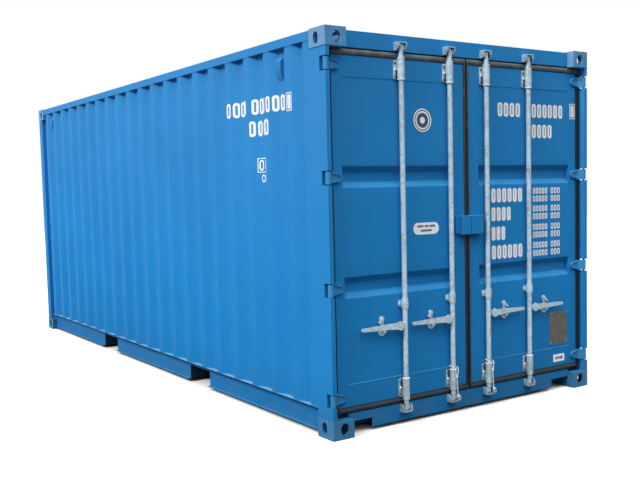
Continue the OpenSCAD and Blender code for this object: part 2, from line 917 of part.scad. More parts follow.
module fork_pockets() {
    side = fork_w / 2;
    color(dark_paint) for (s = [-1, 1]) translate([s * fork_x, 0, 0])
        along_y(-cross_half, cross_half) polygon([
            [-side - fork_t, cross_z0], [-side - fork_t, floor_z0], [side + fork_t, floor_z0],
            [side + fork_t, cross_z0], [side, cross_z0], [side, floor_z0 - fork_t],
            [-side, floor_z0 - fork_t], [-side, cross_z0]
        ]);
}

module floor_panels() {
    panel = (floor_x1 - floor_x0 - (floor_count - 1) * floor_joint) / floor_count;
    color(plywood) for (i = [0 : floor_count - 1])
        translate([floor_x0 + i * (panel + floor_joint), -floor_half, floor_z0])
            cube([panel, 2 * floor_half, floor_t]);
}

// Doors, drawn on the right

module door_frame() {
    stile_in = leaf_in + stile_w;
    stile_out = leaf_out - stile_w;
    for (y = [leaf_in, stile_out]) difference() {
        block([face_u, y, leaf_z0], [leaf_u1, y + stile_w, leaf_z1]);
        block([face_u + leaf_wall, y + leaf_wall, leaf_z0 - cut],
              [leaf_u1 - leaf_wall, y + stile_w - leaf_wall, leaf_z1 + cut]);
    }
    along_y(stile_in, stile_out) leaf_channel(leaf_z1 - top_rail_h, leaf_z1);
    along_y(stile_in, stile_out) leaf_channel(leaf_z0, leaf_z0 + low_rail_h);
}

// Channel that opens to the inside, drawn in (u, z)
module leaf_channel(z0, z1) {
    polygon([
        [face_u, z0], [face_u, z1], [leaf_u1, z1], [leaf_u1, z1 - leaf_wall],
        [face_u + leaf_wall, z1 - leaf_wall], [face_u + leaf_wall, z0 + leaf_wall],
        [leaf_u1, z0 + leaf_wall], [leaf_u1, z0]
    ]);
}

// Panel line in (z, u) with a trough about each centre
function troughs(centres) = [
    for (c = centres)
        each [[c - trough_flat / 2 - trough_slope, 0], [c - trough_flat / 2, trough_depth],
              [c + trough_flat / 2, trough_depth], [c + trough_flat / 2 + trough_slope, 0]]
];

module door_panel() {
    line = concat([[leaf_z0 + low_rail_h, 0]], troughs([trough_z0, trough_z1]),
                  [[leaf_z1 - top_rail_h, 0]]);
    outline = [for (p = sheet(line, panel_t)) [panel_u + p[1], p[0]]];
    along_y(leaf_in + stile_w, leaf_out - stile_w) polygon(outline);
}

// Lip of the gasket round the leaf's hinge edge, in (u, y)
module gasket_lip(u0) {
    polygon([
        [lip_u, leaf_out - lip_over], [face_u, leaf_out - lip_over], [face_u, leaf_out],
        [u0 + cut, leaf_out], [u0 + cut, leaf_out + lip_out], [lip_u, leaf_out + lip_out]
    ]);
}

module door_gasket() {
    u0 = face_u + gasket_in;
    hinge_half = knuckle_h / 2 + knuckle_gap;
    difference() {
        translate([0, 0, leaf_z0]) linear_extrude(leaf_z1 - leaf_z0) gasket_lip(u0);
        for (i = [0 : hinge_count - 1])
            block([lip_u - cut, leaf_out - lip_over - cut, hinge_z(i) - hinge_half],
                  [u0 + 2 * cut, gasket_out, hinge_z(i) + hinge_half]);
    }
    difference() {
        block([u0, leaf_in - gasket_meet_w, leaf_z0 - gasket_bottom_h],
              [u0 + gasket_t, gasket_out, leaf_z1 + gasket_top_h]);
        block([u0 - cut, leaf_in, leaf_z0], [u0 + gasket_t + cut, leaf_out, leaf_z1]);
    }
}

// Blade outline in (v, z) with a round tip, drawn in by a margin
module blade_outline(root_v, margin) {
    tip_r = blade_tip_h / 2;
    tip_v = blade_tip_v - tip_r;
    low = blade_shoulder * (tip_r - margin);
    high = blade_root_h / 2 - margin;
    polygon([[root_v, -high], [tip_v, -low], [tip_v, low], [root_v, high]]);
    translate([tip_v, 0]) circle(r = tip_r - margin);
}

// Hinge blade in (u, v) about its pin, with a rib along the edge of the plate
module hinge_blade() {
    root_v = half_w - leaf_out;
    difference() {
        union() {
            translate([pin_u, pin_v, -knuckle_h / 2]) cylinder(r = knuckle_r, h = knuckle_h);
            translate([0, 0, -knuckle_h / 2]) linear_extrude(knuckle_h) polygon([
                [face_u - blade_t, root_v], [face_u, root_v], [face_u, root_v - knuckle_r],
                [pin_u + knuckle_r, pin_v], [pin_u, pin_v], [pin_u, pin_v + knuckle_r]
            ]);
            translate([face_u, 0, 0]) rotate([90, 0, -90]) mirror([1, 0, 0])
                linear_extrude(blade_t) blade_outline(root_v, 0);
            translate([face_u - blade_t, 0, 0]) rotate([90, 0, -90]) mirror([1, 0, 0])
                linear_extrude(blade_rib) difference() {
                    blade_outline(root_v, 0);
                    blade_outline(root_v - cut, blade_rib_w);
                }
        }
        translate([pin_u, pin_v, -knuckle_h / 2 - cut])
            cylinder(r = pin_r + pin_clear, h = knuckle_h + 2 * cut);
    }
}

module hinge_blades() {
    for (i = [0 : hinge_count - 1])
        translate([0, half_w, hinge_z(i)]) mirror([0, 1, 0]) hinge_blade();
}

// Bracket plate in (y, z) with cut corners on its bolted side
module bracket_plate(h, left, right) {
    polygon([
        [right, -h / 2], [right, h / 2], [bracket_cut - left, h / 2],
        [-left, h / 2 - bracket_cut], [-left, bracket_cut - h / 2], [bracket_cut - left, -h / 2]
    ]);
}

// Rod bracket about a rod: a round guard on a plate that lies at depth seat
module rod_bracket(h, plate_h, left, right, seat, shift) {
    difference() {
        union() {
            translate([rod_u, 0, -h / 2]) cylinder(r = guard_r, h = h);
            translate([face_u - bracket_t, 0, shift]) rotate([90, 0, 90])
                linear_extrude(seat - face_u + bracket_t) bracket_plate(plate_h, left, right);
        }
        translate([rod_u, 0, -h / 2 - cut]) cylinder(r = rod_r + rod_clear, h = h + 2 * cut);
    }
}

module rod_brackets(side) {
    color(zinc) at_end() for (y = [rod_in_y, rod_out_y]) translate([0, side * y, 0]) {
        translate([0, 0, guard_low])
            rod_bracket(guard_h, guard_plate_h, bracket_l, bracket_r, face_u, guard_shift);
        translate([0, 0, guard_top_z])
            rod_bracket(guard_h, guard_plate_h, bracket_l, bracket_r, face_u, -guard_shift);
        translate([0, 0, mid_z]) rod_bracket(mid_h, mid_h, mid_l, mid_r, panel_u, 0);
    }
}

// Handle retainer: a plate with round ends, a shelf under the lever and, on the
// eye above, a catch that is turned aside
module handle_retainer() {
    shelf = -lever_at_retainer / 2 - retainer_gap;
    plate_u = face_u - bracket_t;
    neck = retainer_neck / 2;
    eye_z = retainer_high - eye_r;
    tab_z = retainer_w / 2 - retainer_low;
    catch_drop = eye_z + shelf - catch_w / 2;
    translate([plate_u, 0, 0]) rotate([90, 0, 90]) linear_extrude(panel_u - plate_u) difference() {
        union() {
            translate([0, tab_z]) circle(d = retainer_w);
            translate([0, eye_z]) circle(r = eye_r);
            translate([-neck, tab_z]) square([retainer_neck, eye_z - tab_z]);
        }
        translate([0, tab_z]) circle(r = eye_hole_r);
    }
    block([lever_u, -neck, shelf - handle_t], [plate_u, neck, shelf]);
    translate([plate_u - catch_t, 0, eye_z]) rotate([90, 0, 90]) linear_extrude(catch_t) {
        circle(r = catch_eye_r);
        rotate(acos(catch_drop / catch_l)) translate([-catch_w / 2, -catch_l])
            square([catch_w, catch_l]);
    }
}

module handle_retainers() {
    for (y = [rod_in_y, rod_out_y])
        translate([0, y + retainer_l, handle_z]) handle_retainer();
}

// Hood that hangs over the padlock: open below and closed by the door behind
module lock_hood(y0, y1) {
    difference() {
        block([box_u, y0, box_z0], [face_u, y1, box_z0 + box_h]);
        block([box_u + box_wall, y0 + box_wall, box_z0 - cut],
              [face_u + cut, y1 - box_wall, box_z0 + box_h - box_wall]);
    }
}

module left_door_frame() {
    color(dark_paint) at_end() on_side(LEFT) door_frame();
}

module right_door_frame() {
    color(dark_paint) at_end() on_side(RIGHT) door_frame();
}

module left_door_panel() {
    color(dark_paint) at_end() on_side(LEFT) door_panel();
}

module right_door_panel() {
    color(dark_paint) at_end() on_side(RIGHT) door_panel();
}

module left_door_gasket() {
    color(black_rubber) at_end() on_side(LEFT) door_gasket();
}

module right_door_gasket() {
    color(black_rubber) at_end() on_side(RIGHT) door_gasket();
}

module left_hinge_blades() {
    color(paint) at_end() on_side(LEFT) hinge_blades();
}

module right_hinge_blades() {
    color(paint) at_end() on_side(RIGHT) hinge_blades();
}

module left_rod_brackets() {
    rod_brackets(LEFT);
}

module right_rod_brackets() {
    rod_brackets(RIGHT);
}

module left_handle_retainers() {
    color(zinc) at_end() on_side(LEFT) handle_retainers();
}

module right_handle_retainers() {
    color(zinc) at_end() on_side(RIGHT) handle_retainers();
}

module left_lock_box() {
    color(dark_paint) at_end() {
        lock_hood(-box_left, -box_split / 2);
        block([face_u - hasp_t, -box_left - hasp_w, box_z0 + box_wall],
              [face_u, -box_left, box_z0 + box_h]);
    }
}

module right_lock_box() {
    color(dark_paint) at_end() lock_hood(box_split / 2, box_right);
}

// Lock rods and handles, numbered from left to right

module lock_rod(index) {
    y = rods[index - 1];
    nose_low = cam_low_z0 + cam_h;
    nose_high = cam_top_z1 - cam_h;
    color(zinc) at_end() translate([rod_u, y, 0]) mirror([0, y < 0 ? 1 : 0, 0]) {
        translate([0, 0, nose_low]) cylinder(r = rod_r, h = nose_high - nose_low);
        for (z = [cam_low_z0, nose_high]) translate([0, 0, z]) {
            cylinder(r = cam_core_r, h = cam_h);
            block([-cam_nose_w / 2, -cam_nose, cam_end_gap], [cam_nose_w / 2, 0, cam_h - cam_end_gap]);
        }
        for (s = [-1, 1]) {
            z = mid_z + s * (mid_h / 2 + collar_gap + collar_h / 2);
            translate([0, 0, z - collar_h / 2]) cylinder(r = collar_r, h = collar_h);
        }
        translate([hub_back - rod_u, 0, handle_z]) {
            block([0, 0, -lug_h / 2], [lug_t, hub_l, lug_h / 2]);
            translate([0, hub_l, 0]) rotate([0, 90, 0]) cylinder(d = lug_h, h = lug_t);
        }
    }
}

// Lever in plan: the hub lies on the rod's lug and the neck steps back to the lever
module lever_plan() {
    neck0 = hub_l + hub_r;
    neck1 = neck0 + handle_neck;
    polygon([
        [hub_l - hub_r, hub_u], [neck0, hub_u], [neck1, lever_u], [handle_l, lever_u],
        [handle_l, lever_back], [neck1 - handle_t / 2, lever_back], [neck0 - handle_t / 2, hub_back],
        [hub_l - hub_r, hub_back]
    ]);
}

// Lever in elevation: a round hub, a tapered lever and a round tip
module lever_face() {
    tip = handle_tip_h / 2;
    translate([hub_l, 0]) circle(r = hub_r);
    polygon([[hub_l, -handle_h / 2], [handle_l - tip, -tip], [handle_l - tip, tip],
             [hub_l, handle_h / 2]]);
    translate([handle_l - tip, 0]) circle(r = tip);
}

module lock_handle(index) {
    y = rods[index - 1];
    color(zinc) at_end() translate([0, y, handle_z]) mirror([0, y < 0 ? 1 : 0, 0]) {
        intersection() {
            translate([0, 0, -hub_r - cut]) linear_extrude(2 * hub_r + 2 * cut)
                mirror([1, -1, 0]) lever_plan();
            rotate([90, 0, 90]) linear_extrude(face_u) lever_face();
        }
        translate([hub_u - rivet_h, hub_l, 0]) rotate([0, 90, 0])
            cylinder(r = rivet_r, h = rivet_h);
    }
}

module lock_rod_1() { lock_rod(1); }
module lock_rod_2() { lock_rod(2); }
module lock_rod_3() { lock_rod(3); }
module lock_rod_4() { lock_rod(4); }
module lock_handle_1() { lock_handle(1); }
module lock_handle_2() { lock_handle(2); }
module lock_handle_3() { lock_handle(3); }
module lock_handle_4() { lock_handle(4); }

// Tie ropes

// Point on the smooth line through four neighbours
function blend(a, b, c, d, t) =
    0.5 * (2 * b + (c - a) * t + (2 * a - 5 * b + 4 * c - d) * t * t
           + (3 * b - a - 3 * c + d) * t * t * t);

function smooth(route, steps) = let (n = len(route) - 1) [
    for (i = [0 : n - 1], k = [0 : steps - 1])
        blend(route[max(i - 1, 0)], route[i], route[i + 1], route[min(i + 2, n)], k / steps),
    route[n]
];

function unit(a) = a / norm(a);
function heading(path, i) = unit(path[min(i + 1, len(path) - 1)] - path[max(i - 1, 0)]);
function square_to(n, t) = unit(n - (n * t) * t);

// Normals carried along the path without twist
function normals(path) = [
    for (i = 0, n = square_to([0, 0, 1], heading(path, 0)); i < len(path);
         i = i + 1, n = square_to(n, heading(path, min(i, len(path) - 1)))) n
];

module tube(path, d, sides) {
    n = normals(path);
    points = [
        for (i = [0 : len(path) - 1], k = [0 : sides - 1])
            let (b = cross(heading(path, i), n[i]), a = 360 * k / sides)
            path[i] + d / 2 * (cos(a) * n[i] + sin(a) * b)
    ];
    last = (len(path) - 1) * sides;
    walls = [
        for (i = [0 : len(path) - 2], k = [0 : sides - 1])
            let (a = i * sides + k, b = i * sides + (k + 1) % sides)
            [a, a + sides, b + sides, b]
    ];
    polyhedron(points, concat([[for (k = [0 : sides - 1]) k]],
                              walls, [[for (k = [sides - 1 : -1 : 0]) last + k]]));
}

module tie_rope(y) {
    route = [for (p = ROPE_ROUTE) [half_l - rod_u - p[0], y + p[1], p[2]]];
    color(white_rope) tube(smooth(route, ROPE_STEPS), rope_d, ROPE_SIDES);
}

module left_tie_rope() {
    tie_rope(-rod_in_y);
}

module right_tie_rope() {
    tie_rope(rod_in_y);
}

top_corner_castings();
bottom_corner_castings();
left_door_post();
right_door_post();
front_posts();
door_header();
door_sill();
front_header();
front_sill();
top_side_rails();
bottom_side_rails();
left_side_wall();
right_side_wall();
front_wall();
roof();
cross_members();
fork_pockets();
floor_panels();
ventilators();
cam_keepers();
hinge_pins();
left_door_frame();
left_door_panel();
left_door_gasket();
left_hinge_blades();
left_rod_brackets();
left_handle_retainers();
left_lock_box();
left_tie_rope();
right_door_frame();
right_door_panel();
right_door_gasket();
right_hinge_blades();
right_rod_brackets();
right_handle_retainers();
right_lock_box();
right_tie_rope();
lock_rod_1();
lock_rod_2();
lock_rod_3();
lock_rod_4();
lock_handle_1();
lock_handle_2();
lock_handle_3();
lock_handle_4();
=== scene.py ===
"""Dress a twenty-foot freight container: sheets, welds, fasteners, seals, ropes, marks and finishes.

Sizes are millimetres in the part's own frame: the doors face +X, -Y is the side that the camera
sees and +Z is up. A depth u runs inward from the door end plane and v inward from a side plane.
"""

from __future__ import annotations

import logging
import math
from bisect import bisect_right
from dataclasses import dataclass, field
from enum import Enum
from typing import Callable, Optional, Sequence, Union

import bmesh
import bpy
from mathutils import Matrix, Vector, noise

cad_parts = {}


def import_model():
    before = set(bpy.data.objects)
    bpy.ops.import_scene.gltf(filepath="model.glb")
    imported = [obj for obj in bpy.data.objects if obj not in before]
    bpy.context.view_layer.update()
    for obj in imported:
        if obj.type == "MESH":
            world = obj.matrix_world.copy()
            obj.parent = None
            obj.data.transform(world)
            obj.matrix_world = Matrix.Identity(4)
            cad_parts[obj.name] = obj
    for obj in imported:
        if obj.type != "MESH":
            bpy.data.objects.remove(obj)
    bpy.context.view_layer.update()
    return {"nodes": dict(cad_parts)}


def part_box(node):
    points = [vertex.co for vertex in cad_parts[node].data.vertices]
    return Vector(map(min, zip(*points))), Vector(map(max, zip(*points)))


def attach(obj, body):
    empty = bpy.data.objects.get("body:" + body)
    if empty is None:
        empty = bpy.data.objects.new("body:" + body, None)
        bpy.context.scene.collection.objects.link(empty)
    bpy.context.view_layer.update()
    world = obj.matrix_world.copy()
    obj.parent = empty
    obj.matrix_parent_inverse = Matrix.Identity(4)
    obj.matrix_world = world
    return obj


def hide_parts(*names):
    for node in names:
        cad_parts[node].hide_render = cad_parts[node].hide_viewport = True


log = logging.getLogger("container")

MM = 0.001

Colour = tuple[float, float, float]
Point = tuple[float, float]

# Low and high end across, then low and high end up
Box = tuple[float, float, float, float]


class Side(Enum):
    """Which half of the container, as the sign of Y."""

    LEFT = -1
    RIGHT = 1

    @property
    def word(self) -> str:
        """Name as it stands in the part's node names."""
        return self.name.lower()

    @property
    def door(self) -> "Body":
        """Body of this side's door."""
        return Body.LEFT_DOOR if self is Side.LEFT else Body.RIGHT_DOOR


class Body(Enum):
    """Bodies that pieces ride on."""

    FRAME = "frame"
    LEFT_DOOR = "left_door"
    RIGHT_DOOR = "right_door"


class Slot(Enum):
    """Material slots of the record, passed along when new pieces are made."""

    BLUE = "blue_paint"
    ZINC = "zinc"
    RUBBER = "gasket_rubber"
    ROPE = "rope"


# Shader sheets


def operator(operation: str, turned: bool = False) -> Callable[["Wire", "Term"], "Wire"]:
    """Make an operator's method.

    Args:
        operation: What its Math node does.
        turned: True for a reflected operator, whose number comes first.

    Returns:
        The method.
    """

    def join(self: "Wire", other: "Term") -> "Wire":
        """Add one Math node."""
        first, second = (other, self) if turned else (self, other)
        return self.sheet.add("ShaderNodeMath", {"operation": operation}, {0: first, 1: second})

    return join


class Wire:
    """A node's output that takes part in arithmetic."""

    def __init__(self, sheet: "NodeSheet", socket: bpy.types.NodeSocket) -> None:
        """Keep the socket with the sheet that owns it."""
        self.sheet = sheet
        self.socket = socket

    __add__ = operator("ADD")
    __radd__ = operator("ADD", turned=True)
    __sub__ = operator("SUBTRACT")
    __rsub__ = operator("SUBTRACT", turned=True)
    __mul__ = operator("MULTIPLY")
    __rmul__ = operator("MULTIPLY", turned=True)
    either = operator("MAXIMUM")

    def rise(self, low: float, high: float) -> "Wire":
        """Smooth step from 0 to 1.

        Args:
            low: Value at which the step starts.
            high: Value at which it ends; a lower one turns the step round.

        Returns:
            The step as a wire.
        """
        return self.sheet.add(
            "ShaderNodeMapRange",
            {"interpolation_type": "SMOOTHSTEP"},
            {"Value": self, "From Min": low, "From Max": high},
        )

    def blend(self, first: Union["Wire", Colour], second: Union["Wire", Colour]) -> "Wire":
        """Mix two colours with this value as the share of the second."""
        return self.sheet.add(
            "ShaderNodeMix",
            {"data_type": "RGBA"},
            {0: self, 6: self.sheet.colour(first), 7: self.sheet.colour(second)},
            out=2,
        )


Term = Union[Wire, float]


class NodeSheet:
    """One node tree and the ways to add to it."""

    def __init__(self, tree: bpy.types.NodeTree) -> None:
        """Start on an emptied tree."""
        self.tree = tree
        tree.nodes.clear()

    def add(
        self,
        kind: str,
        settings: Optional[dict[str, object]] = None,
        inputs: Optional[dict[Union[int, str], object]] = None,
        out: Union[int, str] = 0,
    ) -> Wire:
        """Add any node.

        Args:
            kind: The node's type.
            settings: Attributes of the node, set first.
            inputs: Values or wires of its sockets, by name or place.
            out: The output to return.

        Returns:
            A wire from that output.
        """
        node = self.tree.nodes.new(kind)
        for key, value in (settings or {}).items():
            setattr(node, key, value)
        for key, value in (inputs or {}).items():
            socket = node.inputs[key]
            if isinstance(value, Wire):
                self.tree.links.new(value.socket, socket)
            else:
                socket.default_value = value
        return Wire(self, node.outputs[out]) if node.outputs else Wire(self, node.inputs[0])

    @staticmethod
    def colour(value: Union[Wire, Colour]) -> object:
        """Give a colour its alpha, and leave a wire as it is."""
        return value if isinstance(value, Wire) else (*value, 1.0)

    def spot(self, out: str = "Object") -> Wire:
        """Position on the part in metres, or another of its coordinates."""
        return self.add("ShaderNodeTexCoord", out=out)

    def part(self, value: Wire, axis: str) -> Wire:
        """One component of a vector."""
        return self.add("ShaderNodeSeparateXYZ", None, {0: value}, out=axis)

    def height(self) -> Wire:
        """Height above the ground in metres."""
        return self.part(self.spot(), "Z")

    def facing(self, axis: str) -> Wire:
        """How far the surface faces along an axis, from -1 to 1."""
        return self.part(self.spot("Normal"), axis)

    def noise(
        self, scale: float, detail: float = 3.0, stretch: tuple[float, float, float] = (1.0, 1.0, 1.0)
    ) -> Wire:
        """Cloudy noise of about 0.3 to 0.7.

        Args:
            scale: Clouds in a metre.
            detail: Finer layers.
            stretch: Factors along the axes.

        Returns:
            The noise's value.
        """
        place = self.add("ShaderNodeVectorMath", {"operation": "MULTIPLY"}, {0: self.spot(), 1: stretch})
        return self.add("ShaderNodeTexNoise", None, {"Vector": place, "Scale": scale, "Detail": detail})

    def cells(self, scale: float) -> Wire:
        """Random colour for each of the cells in a metre."""
        return self.add("ShaderNodeTexVoronoi", None, {"Vector": self.spot(), "Scale": scale}, out="Color")

    def bump(self, height: Wire, strength: float, distance: float) -> Wire:
        """Normal from a height."""
        return self.add(
            "ShaderNodeBump", None, {"Strength": strength, "Distance": distance, "Height": height}
        )

    def surface(self, **sockets: object) -> None:
        """End the sheet in one principled shader.

        Args:
            sockets: Its inputs, with an underscore for each space.
        """
        inputs = {key.replace("_", " "): value for key, value in sockets.items()}
        shader = self.add("ShaderNodeBsdfPrincipled", None, inputs)
        self.add("ShaderNodeOutputMaterial", None, {"Surface": shader})


# Finishes


@dataclass(frozen=True)
class Finish:
    """A surface finish that makes its material once."""

    name: str
    colour: Colour

    def material(self) -> bpy.types.Material:
        """Find the material, or make it."""
        found = bpy.data.materials.get(self.name)
        if found is not None:
            return found
        made = bpy.data.materials.new(self.name)
        made.use_nodes = True
        self.draw(NodeSheet(made.node_tree))
        return made

    def draw(self, sheet: NodeSheet) -> None:
        """Fill the material's sheet."""
        raise NotImplementedError

    def shade(self, factor: float) -> Colour:
        """The finish's colour, lighter or darker."""
        return tuple(channel * factor for channel in self.colour)


@dataclass(frozen=True)
class CoatedSteel(Finish):
    """Sprayed paint with fading, rain streaks, dust and painted shade low down, painted sheen and a few
    chips.
    """

    dust: Colour = (0.20, 0.19, 0.17)
    rust: Colour = (0.10, 0.045, 0.022)
    roughness: float = 0.56
    streak_share: float = 0.16
    # Height below which a painted shade and the dust darken the paint
    dust_and_shade_top: float = 0.42
    # Height from which a painted shade darkens the paint towards the ground
    soil_top: float = 1.50
    # Colour of the dust and painted sky reflection on up-facing faces
    bloom_and_sheen: Colour = (0.10, 0.315, 0.445)
    # Tint of a painted sheen, stronger higher up and on faces turned to the sides
    sheen_tint: Colour = (0.14, 0.335, 0.640)
    # Share of that dust and painted sky reflection
    dust_and_sheen_share: float = 0.38

    def draw(self, sheet: NodeSheet) -> None:
        """Layer the tones, the streaks, the painted shade and sheen, the dust and the chips."""
        fade = sheet.noise(0.9, 4.0).rise(0.32, 0.68)
        tone = fade.blend(self.shade(0.94), self.shade(1.05))
        mottle = sheet.noise(22.0, 5.0).rise(0.35, 0.65)
        tone = (mottle * 0.35).blend(tone, self.shade(0.93))
        rain = sheet.noise(1.0, 6.0, (26.0, 26.0, 0.55)).rise(0.52, 0.74)
        patchy = sheet.noise(1.3, 2.0).rise(0.40, 0.62)
        tone = (rain * patchy * self.streak_share).blend(tone, self.shade(0.55))
        # Painted shade: darker towards the ground
        grime_and_shade = sheet.height().rise(self.soil_top, 0.0)
        tone = (grime_and_shade * 0.26).blend(tone, self.shade(0.45))
        # Painted sheen: lighter higher up, most on faces turned to the sides
        across = sheet.facing("Y")
        painted_sheen = sheet.height().rise(0.5, 2.7) * (across * across * 0.13 + 0.07)
        # Dust and a painted sky reflection: lighter on up-facing faces
        dust_and_sheen = sheet.facing("Z").rise(0.30, 0.95) * (sheet.noise(5.0, 5.0) * 0.5 + 0.7)
        tone = painted_sheen.blend(tone, self.sheen_tint)
        tone = (dust_and_sheen * self.dust_and_sheen_share).blend(tone, self.bloom_and_sheen)
        # Painted shade near the ground, with the dust that lies there
        low = sheet.height().rise(self.dust_and_shade_top, 0.0)
        tone = (low * 0.42).blend(tone, self.shade(0.45))
        dusty = low * low * sheet.noise(9.0, 6.0).rise(0.38, 0.66)
        tone = (dusty * 0.16).blend(tone, self.dust)
        chips = sheet.noise(120.0, 2.0).rise(0.715, 0.735) * sheet.noise(2.1, 2.0).rise(0.56, 0.66)
        tone = (chips * 0.8).blend(tone, self.rust)
        rough = sheet.noise(6.0, 4.0) * 0.16 + (self.roughness - 0.08) + dusty * 0.25
        peel = sheet.noise(420.0, 2.0) + sheet.noise(24.0, 2.0) * 1.6
        sheet.surface(
            Base_Color=tone,
            Roughness=rough,
            Normal=sheet.bump(peel, 0.10, 0.002),
            Specular_IOR_Level=0.06,
        )


@dataclass(frozen=True)
class CastSteel(CoatedSteel):
    """Paint on a rough casting, with scuffs from twist locks, painted shade low down and painted sheen on the
    upper sides.
    """

    # Darker blue that paints shade on the castings near the ground
    soil: Colour = (0.018, 0.128, 0.262)

    def draw(self, sheet: NodeSheet) -> None:
        """Layer the cast skin, the painted shade and sheen, scuffs and rust."""
        fade = sheet.noise(7.0, 5.0).rise(0.30, 0.70)
        tone = fade.blend(self.shade(0.86), self.shade(1.10))
        # Painted shade: darker blue towards the ground
        tone = (sheet.height().rise(0.8, 0.1) * 0.8).blend(tone, self.soil)
        # Painted sheen: the upper castings paler on faces turned to the sides
        across = sheet.facing("Y")
        pale = sheet.height().rise(2.2, 2.5) * across * across * 0.30
        tone = pale.blend(tone, (0.36, 0.46, 0.56))
        scuff = sheet.noise(34.0, 6.0).rise(0.585, 0.66) * sheet.noise(5.0, 2.0).rise(0.46, 0.60)
        tone = (scuff * 0.55).blend(tone, (0.23, 0.25, 0.27))
        worn = sheet.noise(60.0, 4.0).rise(0.64, 0.70) * sheet.noise(6.5, 2.0).rise(0.50, 0.62)
        tone = (worn * 0.75).blend(tone, self.rust)
        rough = sheet.noise(16.0, 4.0) * 0.22 + (self.roughness - 0.06)
        skin = sheet.noise(150.0, 4.0) + sheet.noise(45.0, 3.0) * 1.5
        sheet.surface(
            Base_Color=tone, Roughness=rough, Normal=sheet.bump(skin, 0.35, 0.0025), Specular_IOR_Level=0.3
        )


@dataclass(frozen=True)
class ZincCoat(Finish):
    """Galvanised steel with spangles and matt patches."""

    roughness: float = 0.46
    metallic: float = 0.15
    spangles: float = 62.0

    def draw(self, sheet: NodeSheet) -> None:
        """Layer the spangles, white rust patches, painted shade low down and handling marks."""
        grain = sheet.part(sheet.cells(self.spangles), "X")
        tone = grain.blend(self.shade(0.76), self.shade(1.14))
        # Painted shade: darker towards the ground
        tone = (sheet.height().rise(0.52, 0.12) * 0.6).blend(tone, self.shade(0.45))
        bloom_and_sheen = sheet.noise(11.0, 6.0).rise(0.44, 0.64)
        tone = (bloom_and_sheen * 0.45).blend(tone, self.shade(1.22))
        grime_and_shade = sheet.noise(30.0, 6.0, (1.0, 1.0, 0.3)).rise(0.60, 0.74)
        tone = (grime_and_shade * 0.5).blend(tone, (0.11, 0.10, 0.09))
        rough = grain * 0.14 + bloom_and_sheen * 0.12 + (self.roughness - 0.08)
        skin = sheet.noise(180.0, 3.0) + grain * 0.4
        sheet.surface(
            Base_Color=tone,
            Metallic=self.metallic,
            Roughness=rough,
            Normal=sheet.bump(skin, 0.16, 0.0012),
            Specular_IOR_Level=0.22,
        )


@dataclass(frozen=True)
class SealRubber(Finish):
    """Dull black rubber with chalky dust, and painted shade in the gaps at the leaves' edges."""

    chalk: Colour = (0.165, 0.195, 0.210)

    def draw(self, sheet: NodeSheet) -> None:
        """Layer the dust, the painted shade in the gaps and the moulded grain."""
        chalk = sheet.noise(14.0, 6.0).rise(0.42, 0.70)
        # The chalky tone grows stronger towards the top
        chalk_rise = sheet.height().rise(0.2, 2.5) * 0.70 + 0.20
        tone = ((chalk * 0.45 + 0.50) * chalk_rise).blend(self.shade(0.8), self.chalk)
        # Painted shade in the gaps beside the leaves and where the leaves meet
        across = sheet.part(sheet.spot(), "Y")
        beside = across.rise(-1.127, -1.140).either(across.rise(1.127, 1.140) * 0.4)
        beside = beside.either((across * across).rise(0.004, 0.001) * 0.25)
        tone = (beside * 0.8).blend(tone, self.shade(0.30))
        rough = sheet.noise(20.0, 3.0) * 0.2 + 0.60
        sheet.surface(
            Base_Color=tone,
            Roughness=rough,
            Normal=sheet.bump(sheet.noise(300.0, 2.0), 0.2, 0.001),
            Specular_IOR_Level=0.16,
        )


@dataclass(frozen=True)
class FloorPly(Finish):
    """Oiled plywood with long grain and scuffs."""

    def draw(self, sheet: NodeSheet) -> None:
        """Layer the grain and the scuffs."""
        grain = sheet.noise(9.0, 8.0, (0.35, 9.0, 1.0)).rise(0.34, 0.66)
        tone = grain.blend(self.shade(0.62), self.shade(1.18))
        scuff = sheet.noise(5.0, 8.0, (0.6, 2.0, 1.0)).rise(0.56, 0.72)
        tone = (scuff * 0.5).blend(tone, (0.10, 0.075, 0.055))
        sheet.surface(
            Base_Color=tone, Roughness=grain * 0.2 + 0.5, Normal=sheet.bump(grain, 0.3, 0.001)
        )


@dataclass(frozen=True)
class LaidRope(Finish):
    """White fibre rope, a little soiled."""

    def draw(self, sheet: NodeSheet) -> None:
        """Layer the dirt and the fibres."""
        soil = sheet.noise(40.0, 5.0).rise(0.45, 0.70)
        tone = (soil * 0.5).blend(self.colour, (0.50, 0.47, 0.40))
        fibre = sheet.noise(1500.0, 3.0)
        sheet.surface(
            Base_Color=tone, Roughness=fibre * 0.2 + 0.70, Normal=sheet.bump(fibre, 0.5, 0.0006)
        )


@dataclass(frozen=True)
class MarkFilm(Finish):
    """Cut film for marks and labels, a little worn."""

    wear: Colour = (0.45, 0.50, 0.56)

    def draw(self, sheet: NodeSheet) -> None:
        """Layer the wear and the film's gloss."""
        rub = sheet.noise(26.0, 6.0).rise(0.50, 0.72)
        tone = (rub * 0.16).blend(self.colour, self.wear)
        sheet.surface(Base_Color=tone, Roughness=rub * 0.2 + 0.38)


@dataclass(frozen=True)
class StampedBronze(Finish):
    """Weathered bare metal of a data plate."""

    def draw(self, sheet: NodeSheet) -> None:
        """Layer the tarnish and the fine pitting."""
        tarnish = sheet.noise(28.0, 6.0).rise(0.36, 0.66)
        tone = tarnish.blend(self.shade(0.50), self.shade(1.35))
        rough = tarnish * 0.25 + 0.40
        sheet.surface(
            Base_Color=tone,
            Metallic=0.45,
            Roughness=rough,
            Normal=sheet.bump(sheet.noise(220.0, 3.0), 0.25, 0.0008),
        )


PAINT = CoatedSteel("blue_coat", (0.0155, 0.235, 0.585))
CAST = CastSteel("blue_cast", (0.066, 0.262, 0.505))
